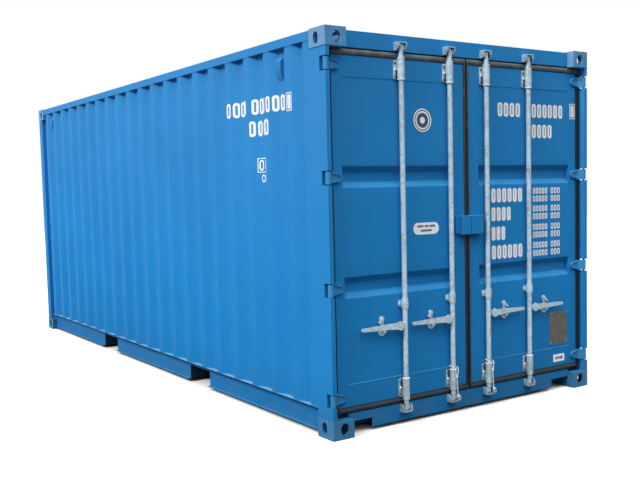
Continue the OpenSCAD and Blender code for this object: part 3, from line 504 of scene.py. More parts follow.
# Pale coat for the film on the side rails' flange: dust and a painted sky reflection
LEDGE_DUST_AND_SHEEN = CoatedSteel("ledge_dust", (0.20, 0.37, 0.54), dust_and_shade_top=0.01, soil_top=0.01)
# Lighter coat for the hinge blades: painted highlights
HINGE_HIGHLIGHT = CoatedSteel("hinge_painted_highlight", (0.042, 0.258, 0.530), dust_and_sheen_share=0.6)
# Paler coat for the bead at the door sheet's foot: dust and a painted highlight
SILT_AND_GLINT = CoatedSteel("bead_dust_and_glint", (0.065, 0.285, 0.510), dust_and_shade_top=0.01, soil_top=0.01, dust_and_sheen_share=0.2)
UNDERCOAT = CoatedSteel("under_coat", (0.020, 0.055, 0.105), roughness=0.62, streak_share=0.3, dust_and_shade_top=0.2)
ZINC = ZincCoat("zinc_coat", (0.435, 0.560, 0.635))
# Darker, bluer zinc for the cam keepers: painted shade
KEEPER_SHADED = ZincCoat("keeper_zinc_shaded", (0.285, 0.425, 0.530))
# Dark zinc for the outer bolts on the guard plates: painted shade
BOLT_SHADED = ZincCoat("bolt_painted_shade", (0.13, 0.15, 0.17))
# White for the nylon bushings, and for the bright bolt heads as a painted highlight
NYLON_AND_GLINT = MarkFilm("white_nylon_and_glint", (0.74, 0.77, 0.78))
RUBBER = SealRubber("seal_rubber", (0.024, 0.030, 0.036))
# Darker rubber for the gaskets behind the seal faces: painted shade in the gaps
SEAL_SHADED = SealRubber("seal_painted_shade", (0.010, 0.014, 0.018), chalk=(0.018, 0.024, 0.030))
PLY = FloorPly("floor_ply", (0.30, 0.165, 0.080))
ROPE = LaidRope("laid_rope", (0.78, 0.78, 0.74))
WHITE = MarkFilm("mark_white", (0.89, 0.90, 0.90))
NAVY = MarkFilm("mark_navy", (0.012, 0.030, 0.115), wear=(0.06, 0.10, 0.22))
INK = MarkFilm("mark_grey", (0.10, 0.12, 0.14), wear=(0.3, 0.32, 0.34))
BRONZE = StampedBronze("plate_bronze", (0.078, 0.078, 0.062))
# Dark rubber for discs that paint the shade in the guards' drain holes
HOLE_SHADE = SealRubber("hole_painted_shade", (0.010, 0.012, 0.014), chalk=(0.02, 0.022, 0.025))


# Mesh making


def carry(path: Sequence[Vector]) -> list[tuple[Vector, Vector]]:
    """Frames along a path that turn with it but don't twist.

    Args:
        path: Points of the path.

    Returns:
        Normal and side at each point.
    """
    last = len(path) - 1
    frames = []
    normal = None
    for i, _ in enumerate(path):
        tangent = (path[min(i + 1, last)] - path[max(i - 1, 0)]).normalized()
        if normal is None:
            normal = tangent.orthogonal()
        normal = (normal - tangent * normal.dot(tangent)).normalized()
        frames.append((normal, tangent.cross(normal)))
    return frames


def circle(sides: int) -> list[Point]:
    """Cosine and sine of each of a circle's even turns."""
    turns = [math.tau * k / sides for k in range(sides)]
    return [(math.cos(turn), math.sin(turn)) for turn in turns]


class Shape:
    """Collects corners and faces in millimetres and makes one mesh object of them."""

    def __init__(self) -> None:
        """Start empty."""
        self.corners: list[Vector] = []
        self.faces: list[tuple[int, ...]] = []

    def skin(self, rows: Sequence[Sequence[Vector]], wrap: bool = False, join: bool = False) -> None:
        """Cover a grid of points with quads.

        Args:
            rows: Rows with as many points each.
            wrap: Join the end of each row to its start.
            join: Join the last row to the first.
        """
        base = len(self.corners)
        width = len(rows[0])
        for row in rows:
            self.corners.extend(row)
        for r in range(len(rows) if join else len(rows) - 1):
            lower = base + r * width
            upper = base + (r + 1) % len(rows) * width
            for c in range(width if wrap else width - 1):
                d = (c + 1) % width
                self.faces.append((lower + c, lower + d, upper + d, upper + c))

    def cap(self, loop: Sequence[Vector]) -> None:
        """Close one flat loop."""
        base = len(self.corners)
        self.corners.extend(loop)
        self.faces.append(tuple(range(base, base + len(loop))))

    def barrel(self, rings: Sequence[Sequence[Vector]]) -> None:
        """Cover a row of rings and close both ends."""
        self.skin(rings, wrap=True)
        self.cap(rings[0])
        self.cap(rings[-1])

    def tube(self, path: Sequence[Vector], radius: float, sides: int = 6) -> None:
        """Sweep a round section along a path."""
        self.barrel(
            [
                [point + (normal * c + side * s) * radius for c, s in circle(sides)]
                for point, (normal, side) in zip(path, carry(path))
            ]
        )

    def stud(self, foot: Vector, axis: Vector, profile: Sequence[Point], sides: int) -> None:
        """Turn a profile about an axis.

        Args:
            foot: Start of the axis.
            axis: Its direction.
            profile: Radius and height of each ring.
            sides: Sides of a ring.
        """
        axis = axis.normalized()
        normal = axis.orthogonal().normalized()
        side = axis.cross(normal)
        self.barrel(
            [
                [foot + axis * height + (normal * c + side * s) * radius for c, s in circle(sides)]
                for radius, height in profile
            ]
        )

    def slab(self, outline: Sequence[Vector], lift: Vector) -> None:
        """Raise a flat outline into a plate."""
        self.barrel([outline, [corner + lift for corner in outline]])

    def make(
        self,
        name: str,
        finish: Finish,
        body: Union[Body, str],
        slot: Optional[Slot] = None,
        sharp: float = 40.0,
        closed: bool = True,
    ) -> bpy.types.Object:
        """Make the object and let it ride on a body.

        Args:
            name: The piece's name.
            finish: Its finish.
            body: What it moves with.
            slot: The record's material slot, where it has one; not used.
            sharp: Angle in degrees from which an edge stays sharp.
            closed: True to weld the corners and turn the faces outward.

        Returns:
            The object.
        """
        mesh = bpy.data.meshes.new(name)
        mesh.from_pydata([corner * MM for corner in self.corners], [], self.faces)
        if closed:
            solid = bmesh.new()
            solid.from_mesh(mesh)
            bmesh.ops.remove_doubles(solid, verts=solid.verts, dist=0.002 * MM)
            bmesh.ops.recalc_face_normals(solid, faces=solid.faces)
            solid.to_mesh(mesh)
            solid.free()
        mesh.shade_smooth()
        mesh.set_sharp_from_angle(angle=math.radians(sharp))
        mesh.materials.append(finish.material())
        piece = bpy.data.objects.new(name, mesh)
        bpy.context.scene.collection.objects.link(piece)
        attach(piece, body.value if isinstance(body, Body) else body)
        log.info("%s: %d faces", name, len(mesh.polygons))
        return piece


def node_box(name: str) -> tuple[Vector, Vector]:
    """Lowest and highest corner of a node in millimetres."""
    low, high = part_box(name)
    return Vector(low) / MM, Vector(high) / MM


def post_span() -> Point:
    """Heights between which the posts stand, from casting to casting."""
    return node_box("bottom_corner_castings")[1].z, node_box("top_corner_castings")[0].z


@dataclass(frozen=True)
class Envelope:
    """Planes of the container's outer box."""

    half_l: float
    half_w: float

    @classmethod
    def measured(cls) -> "Envelope":
        """Take the planes from the corner castings."""
        low, high = node_box("top_corner_castings")
        return cls((high.x - low.x) / 2, (high.y - low.y) / 2)

    def at_end(self, u: float, y: float, z: float) -> Vector:
        """Point at a depth behind the door end plane."""
        return Vector((self.half_l - u, y, z))

    def at_side(self, side: Side, x: float, v: float, z: float) -> Vector:
        """Point at a depth behind a side plane."""
        return Vector((x, side.value * (self.half_w - v), z))


@dataclass(frozen=True)
class BendLine:
    """Straight runs with rounded bends, as a depth over a distance."""

    corners: tuple[Point, ...]
    radius: float
    arc_steps: int = 4

    def points(self) -> list[Point]:
        """Corners of the line, with an arc at each bend.

        Returns:
            Distance and depth of each point.
        """
        line = [self.corners[0]]
        for before, here, after in zip(self.corners, self.corners[1:], self.corners[2:]):
            spot = Vector(here)
            back = (Vector(before) - spot).normalized()
            on = (Vector(after) - spot).normalized()
            turn = math.pi - back.angle(on)
            reach = self.radius * math.tan(turn / 2)
            centre = spot + (back + on).normalized() * (self.radius / math.cos(turn / 2))
            first = spot + back * reach - centre
            sign = 1.0 if first.x * (spot - centre).y - first.y * (spot - centre).x > 0 else -1.0
            for k in range(self.arc_steps + 1):
                angle = sign * turn * k / self.arc_steps
                swung = Matrix.Rotation(angle, 2) @ first
                line.append(tuple(centre + swung))
        line.append(self.corners[-1])
        return line


class Sampler:
    """Depth of a line at any distance along it."""

    def __init__(self, line: Sequence[Point]) -> None:
        """Keep the line's distances and depths."""
        self.distances = [point[0] for point in line]
        self.depths = [point[1] for point in line]

    def depth(self, distance: float) -> float:
        """Read between the two nearest points."""
        i = min(max(bisect_right(self.distances, distance), 1), len(self.distances) - 1)
        run = self.distances[i] - self.distances[i - 1]
        share = (distance - self.distances[i - 1]) / run if run else 0.0
        return self.depths[i - 1] + share * (self.depths[i] - self.depths[i - 1])


def steps(low: float, high: float, count: int) -> list[float]:
    """Even steps from low to high."""
    return [low + (high - low) * k / count for k in range(count + 1)]


@dataclass(frozen=True)
class Rib:
    """Sizes of one pressed rib."""

    pitch: float
    flat: float
    slope: float
    depth: float

    @property
    def inner(self) -> float:
        """Flat between two ribs."""
        return self.pitch - self.flat - 2 * self.slope

    def row(self, start: float, count: int) -> list[Point]:
        """Distance and depth of each corner in a row of ribs."""
        corners = []
        for i in range(count):
            a = start + i * self.pitch
            b = a + self.slope
            c = b + self.flat
            corners += [(a, self.depth), (b, 0.0), (c, 0.0), (c + self.slope, self.depth)]
        return corners

    def centred(self, low: float, high: float, room: float, bend: float) -> list[Point]:
        """Line with as many ribs as a room takes, in the middle of a span.

        Args:
            low: Start of the span.
            high: Its end.
            room: Length that the ribs may take.
            bend: Radius of the bends.

        Returns:
            Distance and depth of each point.
        """
        count = math.floor((room - self.inner) / self.pitch)
        first = (high - low - count * self.pitch + self.inner) / 2
        corners = ((low, self.depth), *self.row(low + first, count), (high, self.depth))
        return BendLine(corners, bend).points()


@dataclass(frozen=True)
class Waves:
    """Slight waves that rolling and welding leave in a sheet."""

    length: float
    height: float
    layer: float = 0.37

    def at(self, a: float, b: float) -> float:
        """Offset of the sheet at a place."""
        return self.height * noise.noise(Vector((a / self.length, b / self.length, self.layer)))


# Sheets and beads

SHEET_THICKNESS = 2.0
SHEET_ROWS = 30
SHEET_SHARP = 60.0
BEAD_SHARP = 80.0


def press(shape: Shape, name: str, node: str, body: Body = Body.FRAME) -> None:
    """Make a sheet inward from its outer face, in place of a plain node."""
    piece = shape.make(name, PAINT, body, Slot.BLUE, SHEET_SHARP, closed=False)
    modifier = piece.modifiers.new("thickness", "SOLIDIFY")
    modifier.thickness = SHEET_THICKNESS * MM
    modifier.offset = -1.0
    EdgeFinish().dress(piece, 0.0)
    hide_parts(node)


def lay_beads(
    name: str,
    paths: Sequence[Sequence[Vector]],
    radius: float,
    body: Body = Body.FRAME,
    finish: Finish = PAINT,
) -> None:
    """Lay weld beads along paths, as one piece."""
    shape = Shape()
    for path in paths:
        shape.tube(path, radius)
    shape.make(name, finish, body, Slot.BLUE, BEAD_SHARP)


@dataclass
class SideWall:
    """Corrugated side sheet with rounded bends, welded to the rails."""

    envelope: Envelope
    side: Side
    rib: Rib = Rib(pitch=280.0, flat=72.0, slope=68.0, depth=36.0)
    waves: Waves = Waves(420.0, 1.1)
    outer_v: float = 6.0
    first: float = 78.0
    last: float = 77.0
    bend: float = 10.0
    weld_r: float = 3.2
    ledge_v: float = 3.0
    ledge_film: float = 0.6
    line: list[Point] = field(init=False)
    sampler: Sampler = field(init=False)

    def __post_init__(self) -> None:
        """Lay out the corrugations between the posts."""
        low, high = node_box(f"{self.side.word}_side_wall")
        end = high.x - self.last - self.rib.slope
        count = math.floor((end - low.x - self.first + self.rib.inner) / self.rib.pitch)
        corners = [(low.x, self.rib.depth), *self.rib.row(low.x + self.first, count)]
        corners += [(end, self.rib.depth), (end + self.rib.slope, 0.0), (high.x, 0.0)]
        self.line = BendLine(tuple(corners), self.bend).points()
        self.sampler = Sampler(self.line)

    def at(self, x: float, z: float, lift: float = 0.0) -> Vector:
        """Point on the sheet's outer face, or above it."""
        v = self.outer_v + self.sampler.depth(x) + self.waves.at(x, z) - lift
        return self.envelope.at_side(self.side, x, v, z)

    def build(self) -> None:
        """Make the sheet in place of the plain one, with its beads and a pale film below it for dust and a
        painted reflection.
        """
        word = self.side.word
        top = node_box(f"{word}_side_wall")[1].z
        rail_top = node_box("bottom_side_rails")[1].z
        casting_x = node_box("top_side_rails")[0].x
        strip = [x for x, _ in self.line if x < casting_x] + [casting_x]
        main = [casting_x] + [x for x, _ in self.line if x > casting_x]
        shape = Shape()
        for columns, span in ((strip, post_span()), (main, (rail_top, top))):
            rows = [[self.at(x, z) for x in columns] for z in steps(*span, SHEET_ROWS)]
            shape.skin(rows if self.side is Side.LEFT else rows[::-1])
        press(shape, f"{word}_wall_sheet", f"{word}_side_wall")
        heights = (rail_top + self.weld_r / 2, top - self.weld_r / 2)
        lay_beads(f"{word}_wall_welds", [[self.at(x, z) for x in main] for z in heights], self.weld_r)
        self.ledge(main, rail_top)

    def ledge(self, columns: Sequence[float], rail_top: float) -> None:
        """Lay a pale film on the rail's flange, in the hollows of the sheet: dust and a painted sky
        reflection.
        """
        near = [self.at(x, rail_top) for x in columns]
        edge = [self.envelope.at_side(self.side, x, self.ledge_v, rail_top) for x in columns]
        film = Vector((0, 0, self.ledge_film))
        rows = [near, edge, [point + film for point in edge], [point + film for point in near]]
        shape = Shape()
        shape.skin(rows, join=True)
        for end in (0, -1):
            shape.cap([row[end] for row in rows])
        shape.make(f"{self.side.word}_ledge_dust", LEDGE_DUST_AND_SHEEN, Body.FRAME, Slot.BLUE)


@dataclass
class FrontWall:
    """Corrugated sheet at the end without doors."""

    envelope: Envelope
    rib: Rib = Rib(pitch=250.0, flat=104.0, slope=20.0, depth=36.0)
    waves: Waves = Waves(400.0, 1.0)
    outer_u: float = 8.0
    bend: float = 12.0
    weld_r: float = 3.2

    def build(self) -> None:
        """Make the sheet in place of the plain one, with its beads."""
        low, high = node_box("front_wall")
        header_low, header_high = node_box("front_header")
        inner = header_high.y
        bottom, top = node_box("front_sill")[1].z, header_low.z
        line = self.rib.centred(low.y, high.y, 2 * inner, self.bend)
        sampler = Sampler(line)

        def at(y: float, z: float) -> Vector:
            """Point on the outer face."""
            u = self.outer_u + sampler.depth(y) + self.waves.at(y, z)
            return Vector((u - self.envelope.half_l, y, z))

        main = [-inner] + [y for y, _ in line if abs(y) < inner] + [inner]
        ends = post_span()
        shape = Shape()
        for columns, span in (([low.y, -inner], ends), (main, (bottom, top)), ([inner, high.y], ends)):
            rows = [[at(y, z) for y in columns] for z in steps(*span, SHEET_ROWS)]
            shape.skin(rows[::-1])
        press(shape, "front_wall_sheet", "front_wall")
        heights = (bottom + self.weld_r / 2, top - self.weld_r / 2)
        lay_beads("front_wall_welds", [[at(y, z) for y in main] for z in heights], self.weld_r)


@dataclass
class RoofSheet:
    """Pressed roof whose ribs run out short of the rails."""

    rib: Rib = Rib(pitch=209.0, flat=90.0, slope=14.0, depth=20.0)
    waves: Waves = Waves(500.0, 1.6)
    bend: float = 10.0
    run_out: float = 90.0
    run_steps: int = 5
    middle_steps: int = 14
    edge_flat: float = 36.0

    def build(self) -> None:
        """Make the sheet in place of the plain one."""
        low, high = node_box("roof")
        line = self.rib.centred(low.x, high.x, high.x - low.x, self.bend)
        flat = high.y - self.edge_flat
        run = flat - self.run_out
        edge = steps(run, flat, self.run_steps)
        middle = steps(-run, run, self.middle_steps)[1:-1]
        columns = [-high.y, *[-y for y in reversed(edge)], *middle, *edge, high.y]

        def at(x: float, depth: float, y: float) -> Vector:
            """Point on the top face."""
            share = min(max((flat - abs(y)) / self.run_out, 0.0), 1.0)
            ease = share * share * (3 - 2 * share)
            rise = (self.rib.depth - depth) * ease
            z = high.z - self.rib.depth + rise + self.waves.at(x, y) - self.waves.height
            return Vector((x, y, z))

        shape = Shape()
        shape.skin([[at(x, depth, y) for y in columns] for x, depth in line][::-1])
        press(shape, "roof_sheet", "roof")


@dataclass
class DoorPanel:
    """Door sheet with two pressed troughs."""

    envelope: Envelope
    side: Side
    waves: Waves = Waves(330.0, 1.0)
    trough_flat: float = 62.0
    trough_slope: float = 38.0
    trough_depth: float = 36.0
    centres: tuple[float, float] = (957.0, 1665.0)
    bend: float = 10.0
    row_h: float = 90.0
    sheet_steps: int = 14
    bead_steps: int = 40
    weld_r: float = 2.2
    weld_lift: float = 0.5
    ledge_r: float = 2.8
    ledge_lift: float = 0.8
    low: Vector = field(init=False)
    high: Vector = field(init=False)
    line: list[Point] = field(init=False)

    def __post_init__(self) -> None:
        """Take the panel's place from its node."""
        self.low, self.high = node_box(f"{self.side.word}_door_panel")
        half = self.trough_flat / 2
        corners = [(self.low.z, 0.0)]
        for centre in self.centres:
            corners += [
                (centre - half - self.trough_slope, 0.0),
                (centre - half, self.trough_depth),
                (centre + half, self.trough_depth),
                (centre + half + self.trough_slope, 0.0),
            ]
        corners.append((self.high.z, 0.0))
        self.line = BendLine(tuple(corners), self.bend).points()

    @property
    def face_u(self) -> float:
        """Depth of the panel's face behind the end plane."""
        return self.envelope.half_l - self.high.x

    def at(self, y: float, z: float, lift: float = 0.0) -> Vector:
        """Point on the panel's flat, or in front of it."""
        return self.envelope.at_end(self.face_u + self.waves.at(y, z) - lift, y, z)

    def build(self) -> None:
        """Make the sheet in place of the plain one, with its beads."""
        word = self.side.word
        heights: list[Point] = []
        for (z0, depth0), (z1, depth1) in zip(self.line, self.line[1:]):
            parts = max(1, round((z1 - z0) / self.row_h))
            heights += list(zip(steps(z0, z1, parts), steps(depth0, depth1, parts)))[:-1]
        heights.append(self.line[-1])
        columns = steps(self.low.y, self.high.y, self.sheet_steps)
        shape = Shape()
        shape.skin([[self.at(y, z, -depth) for y in columns] for z, depth in heights])
        press(shape, f"{word}_door_sheet", f"{word}_door_panel", self.side.door)
        self.weld()

    def weld(self) -> None:
        """Lay the beads where the sheet meets the door's frame, the lowest in a paler coat for dust and a
        painted highlight.
        """
        word, door = self.side.word, self.side.door
        columns = steps(self.low.y, self.high.y, self.bead_steps)
        # Lowest bead: dust and a painted highlight on the ledge
        ledge = [self.at(y, self.low.z, self.ledge_lift) for y in columns]
        lay_beads(f"{word}_door_ledge", [ledge], self.ledge_r, door, SILT_AND_GLINT)
        paths = [[self.at(y, self.high.z, self.weld_lift) for y in columns]]
        for y in (self.low.y, self.high.y):
            paths.append([self.at(y, z, self.weld_lift - depth) for z, depth in self.line])
        lay_beads(f"{word}_door_welds", paths, self.weld_r, door)


@dataclass
class DoorSeal:
    """Bulged face moulded on the front of a door's gasket."""

    envelope: Envelope
    side: Side
    face_u: float = 66.0
    bulge: float = 14.0
    edge: float = 3.0
    round_steps: int = 12
    sharp: float = 50.0

    def build(self) -> None:
        """Bulge the bands above, below and beside the leaf."""
        low, high = node_box(f"{self.side.word}_door_gasket")
        leaf_low, leaf_high = node_box(f"{self.side.word}_door_frame")
        bands = (
            (low.y, high.y, leaf_high.z, high.z),
            (low.y, high.y, low.z, leaf_low.z),
            (low.y, leaf_low.y, low.z, high.z),
            (leaf_high.y, high.y, low.z, high.z),
        )
        shape = Shape()
        for y0, y1, z0, z1 in bands:
            self.band(shape, (y0 + self.edge, y1 - self.edge, z0 + self.edge, z1 - self.edge))
        shape.make(f"{self.side.word}_seal_face", RUBBER, self.side.door, Slot.RUBBER, self.sharp)

    def band(self, shape: Shape, box: Box) -> None:
        """Raise a half-round bar from one band."""
        y0, y1, z0, z1 = box
        flat = y1 - y0 > z1 - z0
        rows = []
        for k in range(self.round_steps + 1):
            turn = math.pi * k / self.round_steps
            across = (1 - math.cos(turn)) / 2
            u = self.face_u - self.bulge * math.sin(turn)
            if flat:
                z = z0 + (z1 - z0) * across
                rows.append([self.envelope.at_end(u, y, z) for y in (y0, y1)])
            else:
                y = y0 + (y1 - y0) * across
                rows.append([self.envelope.at_end(u, y, z) for z in (z0, z1)])
        shape.skin(rows, join=True)
        for place in (0, 1):
            shape.cap([row[place] for row in rows])


def rounded_rectangle(box: Box, radius: float, arc_steps: int) -> list[Point]:
    """Corners of a rectangle with round corners, turning left.

    Args:
        box: The rectangle.
        radius: Radius of the corners.
        arc_steps: Steps in each corner.

    Returns:
        The points in order.
    """
    a0, a1, b0, b1 = box
    left, right = a0 + radius, a1 - radius
    low, high = b0 + radius, b1 - radius
    points = []
    for quarter, (a, b) in enumerate(((right, low), (right, high), (left, high), (left, low))):
        for k in range(arc_steps + 1):
            angle = math.pi / 2 * (quarter - 1 + k / arc_steps)
            points.append((a + radius * math.cos(angle), b + radius * math.sin(angle)))
    return points


@dataclass
class LockGear:
    """Fasteners and bushings of the lock rods on one door."""

    envelope: Envelope
    side: Side
    rods: tuple[float, float] = (173.0, 598.0)
    rod_u: float = 33.0
    plate_u: float = 52.0
    guard_r: float = 24.0
    guard_h: float = 140.0
    guards: tuple[float, float] = (240.0, 2370.0)
    plate_shift: float = 10.0
    bolt_y: float = -34.0
    bolt_r: float = 7.5
    bolt_h: float = 6.0
    bolt_rise: float = 42.0
    mid_z: float = 820.0
    mid_bolt_y: float = -31.0
    mid_scale: float = 0.8
    bush_r: float = 25.5
    bush_h: float = 9.0
    bush_bore: float = 17.6
    bush_round: float = 2.0
    bush_sides: int = 24
    hole_r: float = 4.2
    hole_turn: float = 40.0
    hole_rise: float = 52.0

    def bolt(self, shape: Shape, y: float, z: float, scale: float = 1.0) -> None:
        """Add a washer with a domed head."""
        r, h = self.bolt_r * scale, self.bolt_h * scale
        washer = [(r * 1.35, -0.5), (r * 1.35, 1.2)]
        head = [(r, 1.3), (r * 0.97, h * 0.55), (r * 0.72, h * 0.88), (r * 0.3, h)]
        foot = self.envelope.at_end(self.plate_u, y, z)
        shape.stud(foot, Vector((1, 0, 0)), washer + head, 14)

    def build(self) -> None:
        """Make the bolts, bushings and drain-hole discs, with white bolt heads as painted highlights and dark
        ones and the discs as painted shade.
        """
        word, door = self.side.word, self.side.door
        bolts, shaded_heads, bushes, holes = Shape(), Shape(), Shape(), Shape()
        for rod_y in self.rods:
            y = self.side.value * rod_y
            for guard_z in self.guards:
                inward = 1 if guard_z < self.mid_z else -1
                plate_z = guard_z + inward * self.plate_shift
                # Bolt in the middle of the plate in white: a painted highlight
                self.bolt(bolts, y + self.bolt_y, plate_z)
                self.bush(bushes, y, guard_z + inward * (self.guard_h / 2 + self.bush_h / 2))
                for sign in (-1, 1):
                    # Outer bolts in dark zinc: painted shade
                    self.bolt(shaded_heads, y + self.bolt_y, plate_z + sign * self.bolt_rise)
                    # Dark disc as painted shade in a drain hole
                    self.hole(holes, y, guard_z + sign * self.hole_rise)
            # Bolt on the middle bracket in white: a painted highlight
            self.bolt(bolts, y + self.mid_bolt_y, self.mid_z, self.mid_scale)
        bolts.make(f"{word}_gear_bolts", NYLON_AND_GLINT, door)
        shaded_heads.make(f"{word}_dull_bolts", BOLT_SHADED, door, Slot.ZINC)
        bushes.make(f"{word}_rod_bushings", NYLON_AND_GLINT, door)
        holes.make(f"{word}_guard_holes", HOLE_SHADE, door)

    def bush(self, shape: Shape, y: float, z: float) -> None:
        """Add a ring round a rod at the end of its guard."""
        half, r, cut = self.bush_h / 2, self.bush_r, self.bush_round
        lower = [(self.bush_bore, -half), (r - cut, -half), (r, -half + cut)]
        upper = [(r, half - cut), (r - cut, half), (self.bush_bore, half)]
        centre = self.envelope.at_end(self.rod_u, y, z)
        rings = [
            [centre + Vector((c, s, 0)) * radius + Vector((0, 0, height)) for radius, height in lower + upper]
            for c, s in circle(self.bush_sides)
        ]
        shape.skin(rings, wrap=True, join=True)

    def hole(self, shape: Shape, y: float, z: float) -> None:
        """Add a dark disc on a guard as painted shade in the mouth of a drain hole."""
        turn = math.radians(self.hole_turn)
        spoke = Vector((math.cos(turn), math.sin(turn), 0))
        foot = self.envelope.at_end(self.rod_u, y, z) + spoke * (self.guard_r - 0.6)
        shape.stud(foot, spoke, [(self.hole_r, -1.0), (self.hole_r, 0.9)], 12)


@dataclass
class TieRope:
    """White rope that is looped round a rod, hangs beside it and ends in a knotted eye."""

    envelope: Envelope
    side: Side
    rod_y: float = 173.0
    rod_u: float = 33.0
    diameter: float = 6.0
    strands: int = 3
    strand_share: float = 0.27
    lay_length: float = 34.0
    step: float = 2.5
    curve_steps: int = 16
    coil_steps: int = 60
    knot_turns: float = 3.5
    knot_wire: float = 4.2

    # Depth inward and distance across from the rod's centre, and height
    ROUTE = (
        (27, 31, 306), (21, 31, 306), (15, 31, 306), (10, 29, 317), (9, 25, 331), (19, 14, 339),
        (23, 2, 340), (20, -14, 340), (10, -24, 340), (-8, -25, 339), (-20, -19, 333),
        (-27, -13, 321), (-28, -6, 305), (-28, 2, 287), (-28, 8, 268), (-28, 11, 240),
        (-28, 14, 205), (-28, 17, 165), (-28, 19, 135), (-28, 22, 113), (-28, 29, 102),
        (-28, 39, 101), (-28, 44, 110), (-28, 39, 120), (-28, 31, 127),
    )
    # Short strand that comes back round the rod to the upper knot
    BACK = (
        (2, 27, 331), (-12, 26, 330), (-22, 24, 325), (-28, 22, 314), (-30, 18, 297),
        (-30, 14, 280), (-30, 12, 262),
    )
    # Middle, lowest and highest point, and spread of each knot's coil
    COILS = (
        ((-29.0, 10.0), (258.0, 274.0), 1.5),
        ((-28.0, 25.0), (120.0, 134.0), 5.0),
    )

    def spot(self, u: float, y: float, z: float) -> Vector:
        """Point of the route in the part's frame."""
        return self.envelope.at_end(self.rod_u + u, self.side.value * self.rod_y + y, z)

    def path(self, points: Sequence[tuple[float, float, float]]) -> list[Vector]:
        """Smooth line through a route's points, in even steps."""
        route = [self.spot(*point) for point in points]
        fine = []
        for i in range(len(route) - 1):
            a, b = route[max(i - 1, 0)], route[i]
            c, d = route[i + 1], route[min(i + 2, len(route) - 1)]
            for share in steps(0.0, 1.0, self.curve_steps)[:-1]:
                bow = (2 * a - 5 * b + 4 * c - d) * share**2
                swing = (3 * b - a - 3 * c + d) * share**3
                fine.append(0.5 * (2 * b + (c - a) * share + bow + swing))
        fine.append(route[-1])
        return even_steps(fine, self.step)

    def build(self) -> None:
        path = self.path(self.ROUTE)
        shape = Shape()
        self.twist(shape, path)
        rope = shape.make(f"{self.side.word}_laid_rope", ROPE, self.side.door, Slot.ROPE, BEAD_SHARP)
        knot = self.knot()
        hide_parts(f"{self.side.word}_tie_rope")

    def twist(self, shape: Shape, path: Sequence[Vector]) -> None:
        """Lay the strands about a path."""
        frames = carry(path)
        strand_r = self.diameter * self.strand_share
        offset = self.diameter / 2 - strand_r
        for strand in range(self.strands):
            centre = []
            for i, (point, (normal, side)) in enumerate(zip(path, frames)):
                turn = math.tau * (i * self.step / self.lay_length + strand / self.strands)
                centre.append(point + (normal * math.cos(turn) + side * math.sin(turn)) * offset)
            shape.tube(centre, strand_r, 7)

    def knot(self) -> bpy.types.Object:
        """Lay the strand that comes back, and wind the turns of both knots."""
        shape = Shape()
        self.twist(shape, self.path(self.BACK))
        for middle, span, spread in self.COILS:
            self.wind(shape, middle, span, spread)
        return shape.make(f"{self.side.word}_rope_knot", ROPE, self.side.door, Slot.ROPE, BEAD_SHARP)

    def wind(self, shape: Shape, middle: Point, span: Point, spread: float) -> None:
        """Wind a coil round two strands.

        Args:
            shape: Where the coil goes.
            middle: Depth and distance across of the coil's middle.
            span: Its lowest and highest point.
            spread: Half the distance between the strands.
        """
        low, high = span
        reach = self.diameter / 2 + self.knot_wire / 2
        path = []
        for share in steps(0.0, 1.0, self.coil_steps):
            turn = math.tau * self.knot_turns * share
            u = middle[0] + reach * math.cos(turn)
            y = middle[1] + (reach + spread) * math.sin(turn)
            path.append(self.spot(u, y, low + (high - low) * share))
        shape.tube(path, self.knot_wire / 2, 8)


def even_steps(path: Sequence[Vector], step: float) -> list[Vector]:
    """Walk a path in even steps.

    Args:
        path: Points of the path.
        step: Length of a step.

    Returns:
        Points a step apart, with both ends of the path.
    """
    total = sum((b - a).length for a, b in zip(path, path[1:]))
    count = max(1, round(total / step))
    walked, gone, i = [], 0.0, 0
    for mark in steps(0.0, total, count)[:-1]:
        while gone + (path[i + 1] - path[i]).length < mark:
            gone += (path[i + 1] - path[i]).length
            i += 1
        span = (path[i + 1] - path[i]).length
        walked.append(path[i].lerp(path[i + 1], (mark - gone) / span if span else 0.0))
    return [*walked, path[-1]]


Canvas = Callable[[float, float, float], Vector]


@dataclass(frozen=True)
class Group:
    """A run of plain zeros between two edges, with or without a box."""

    start: float
    stop: float
    low: float
    high: float
    count: int
    boxed: bool = False


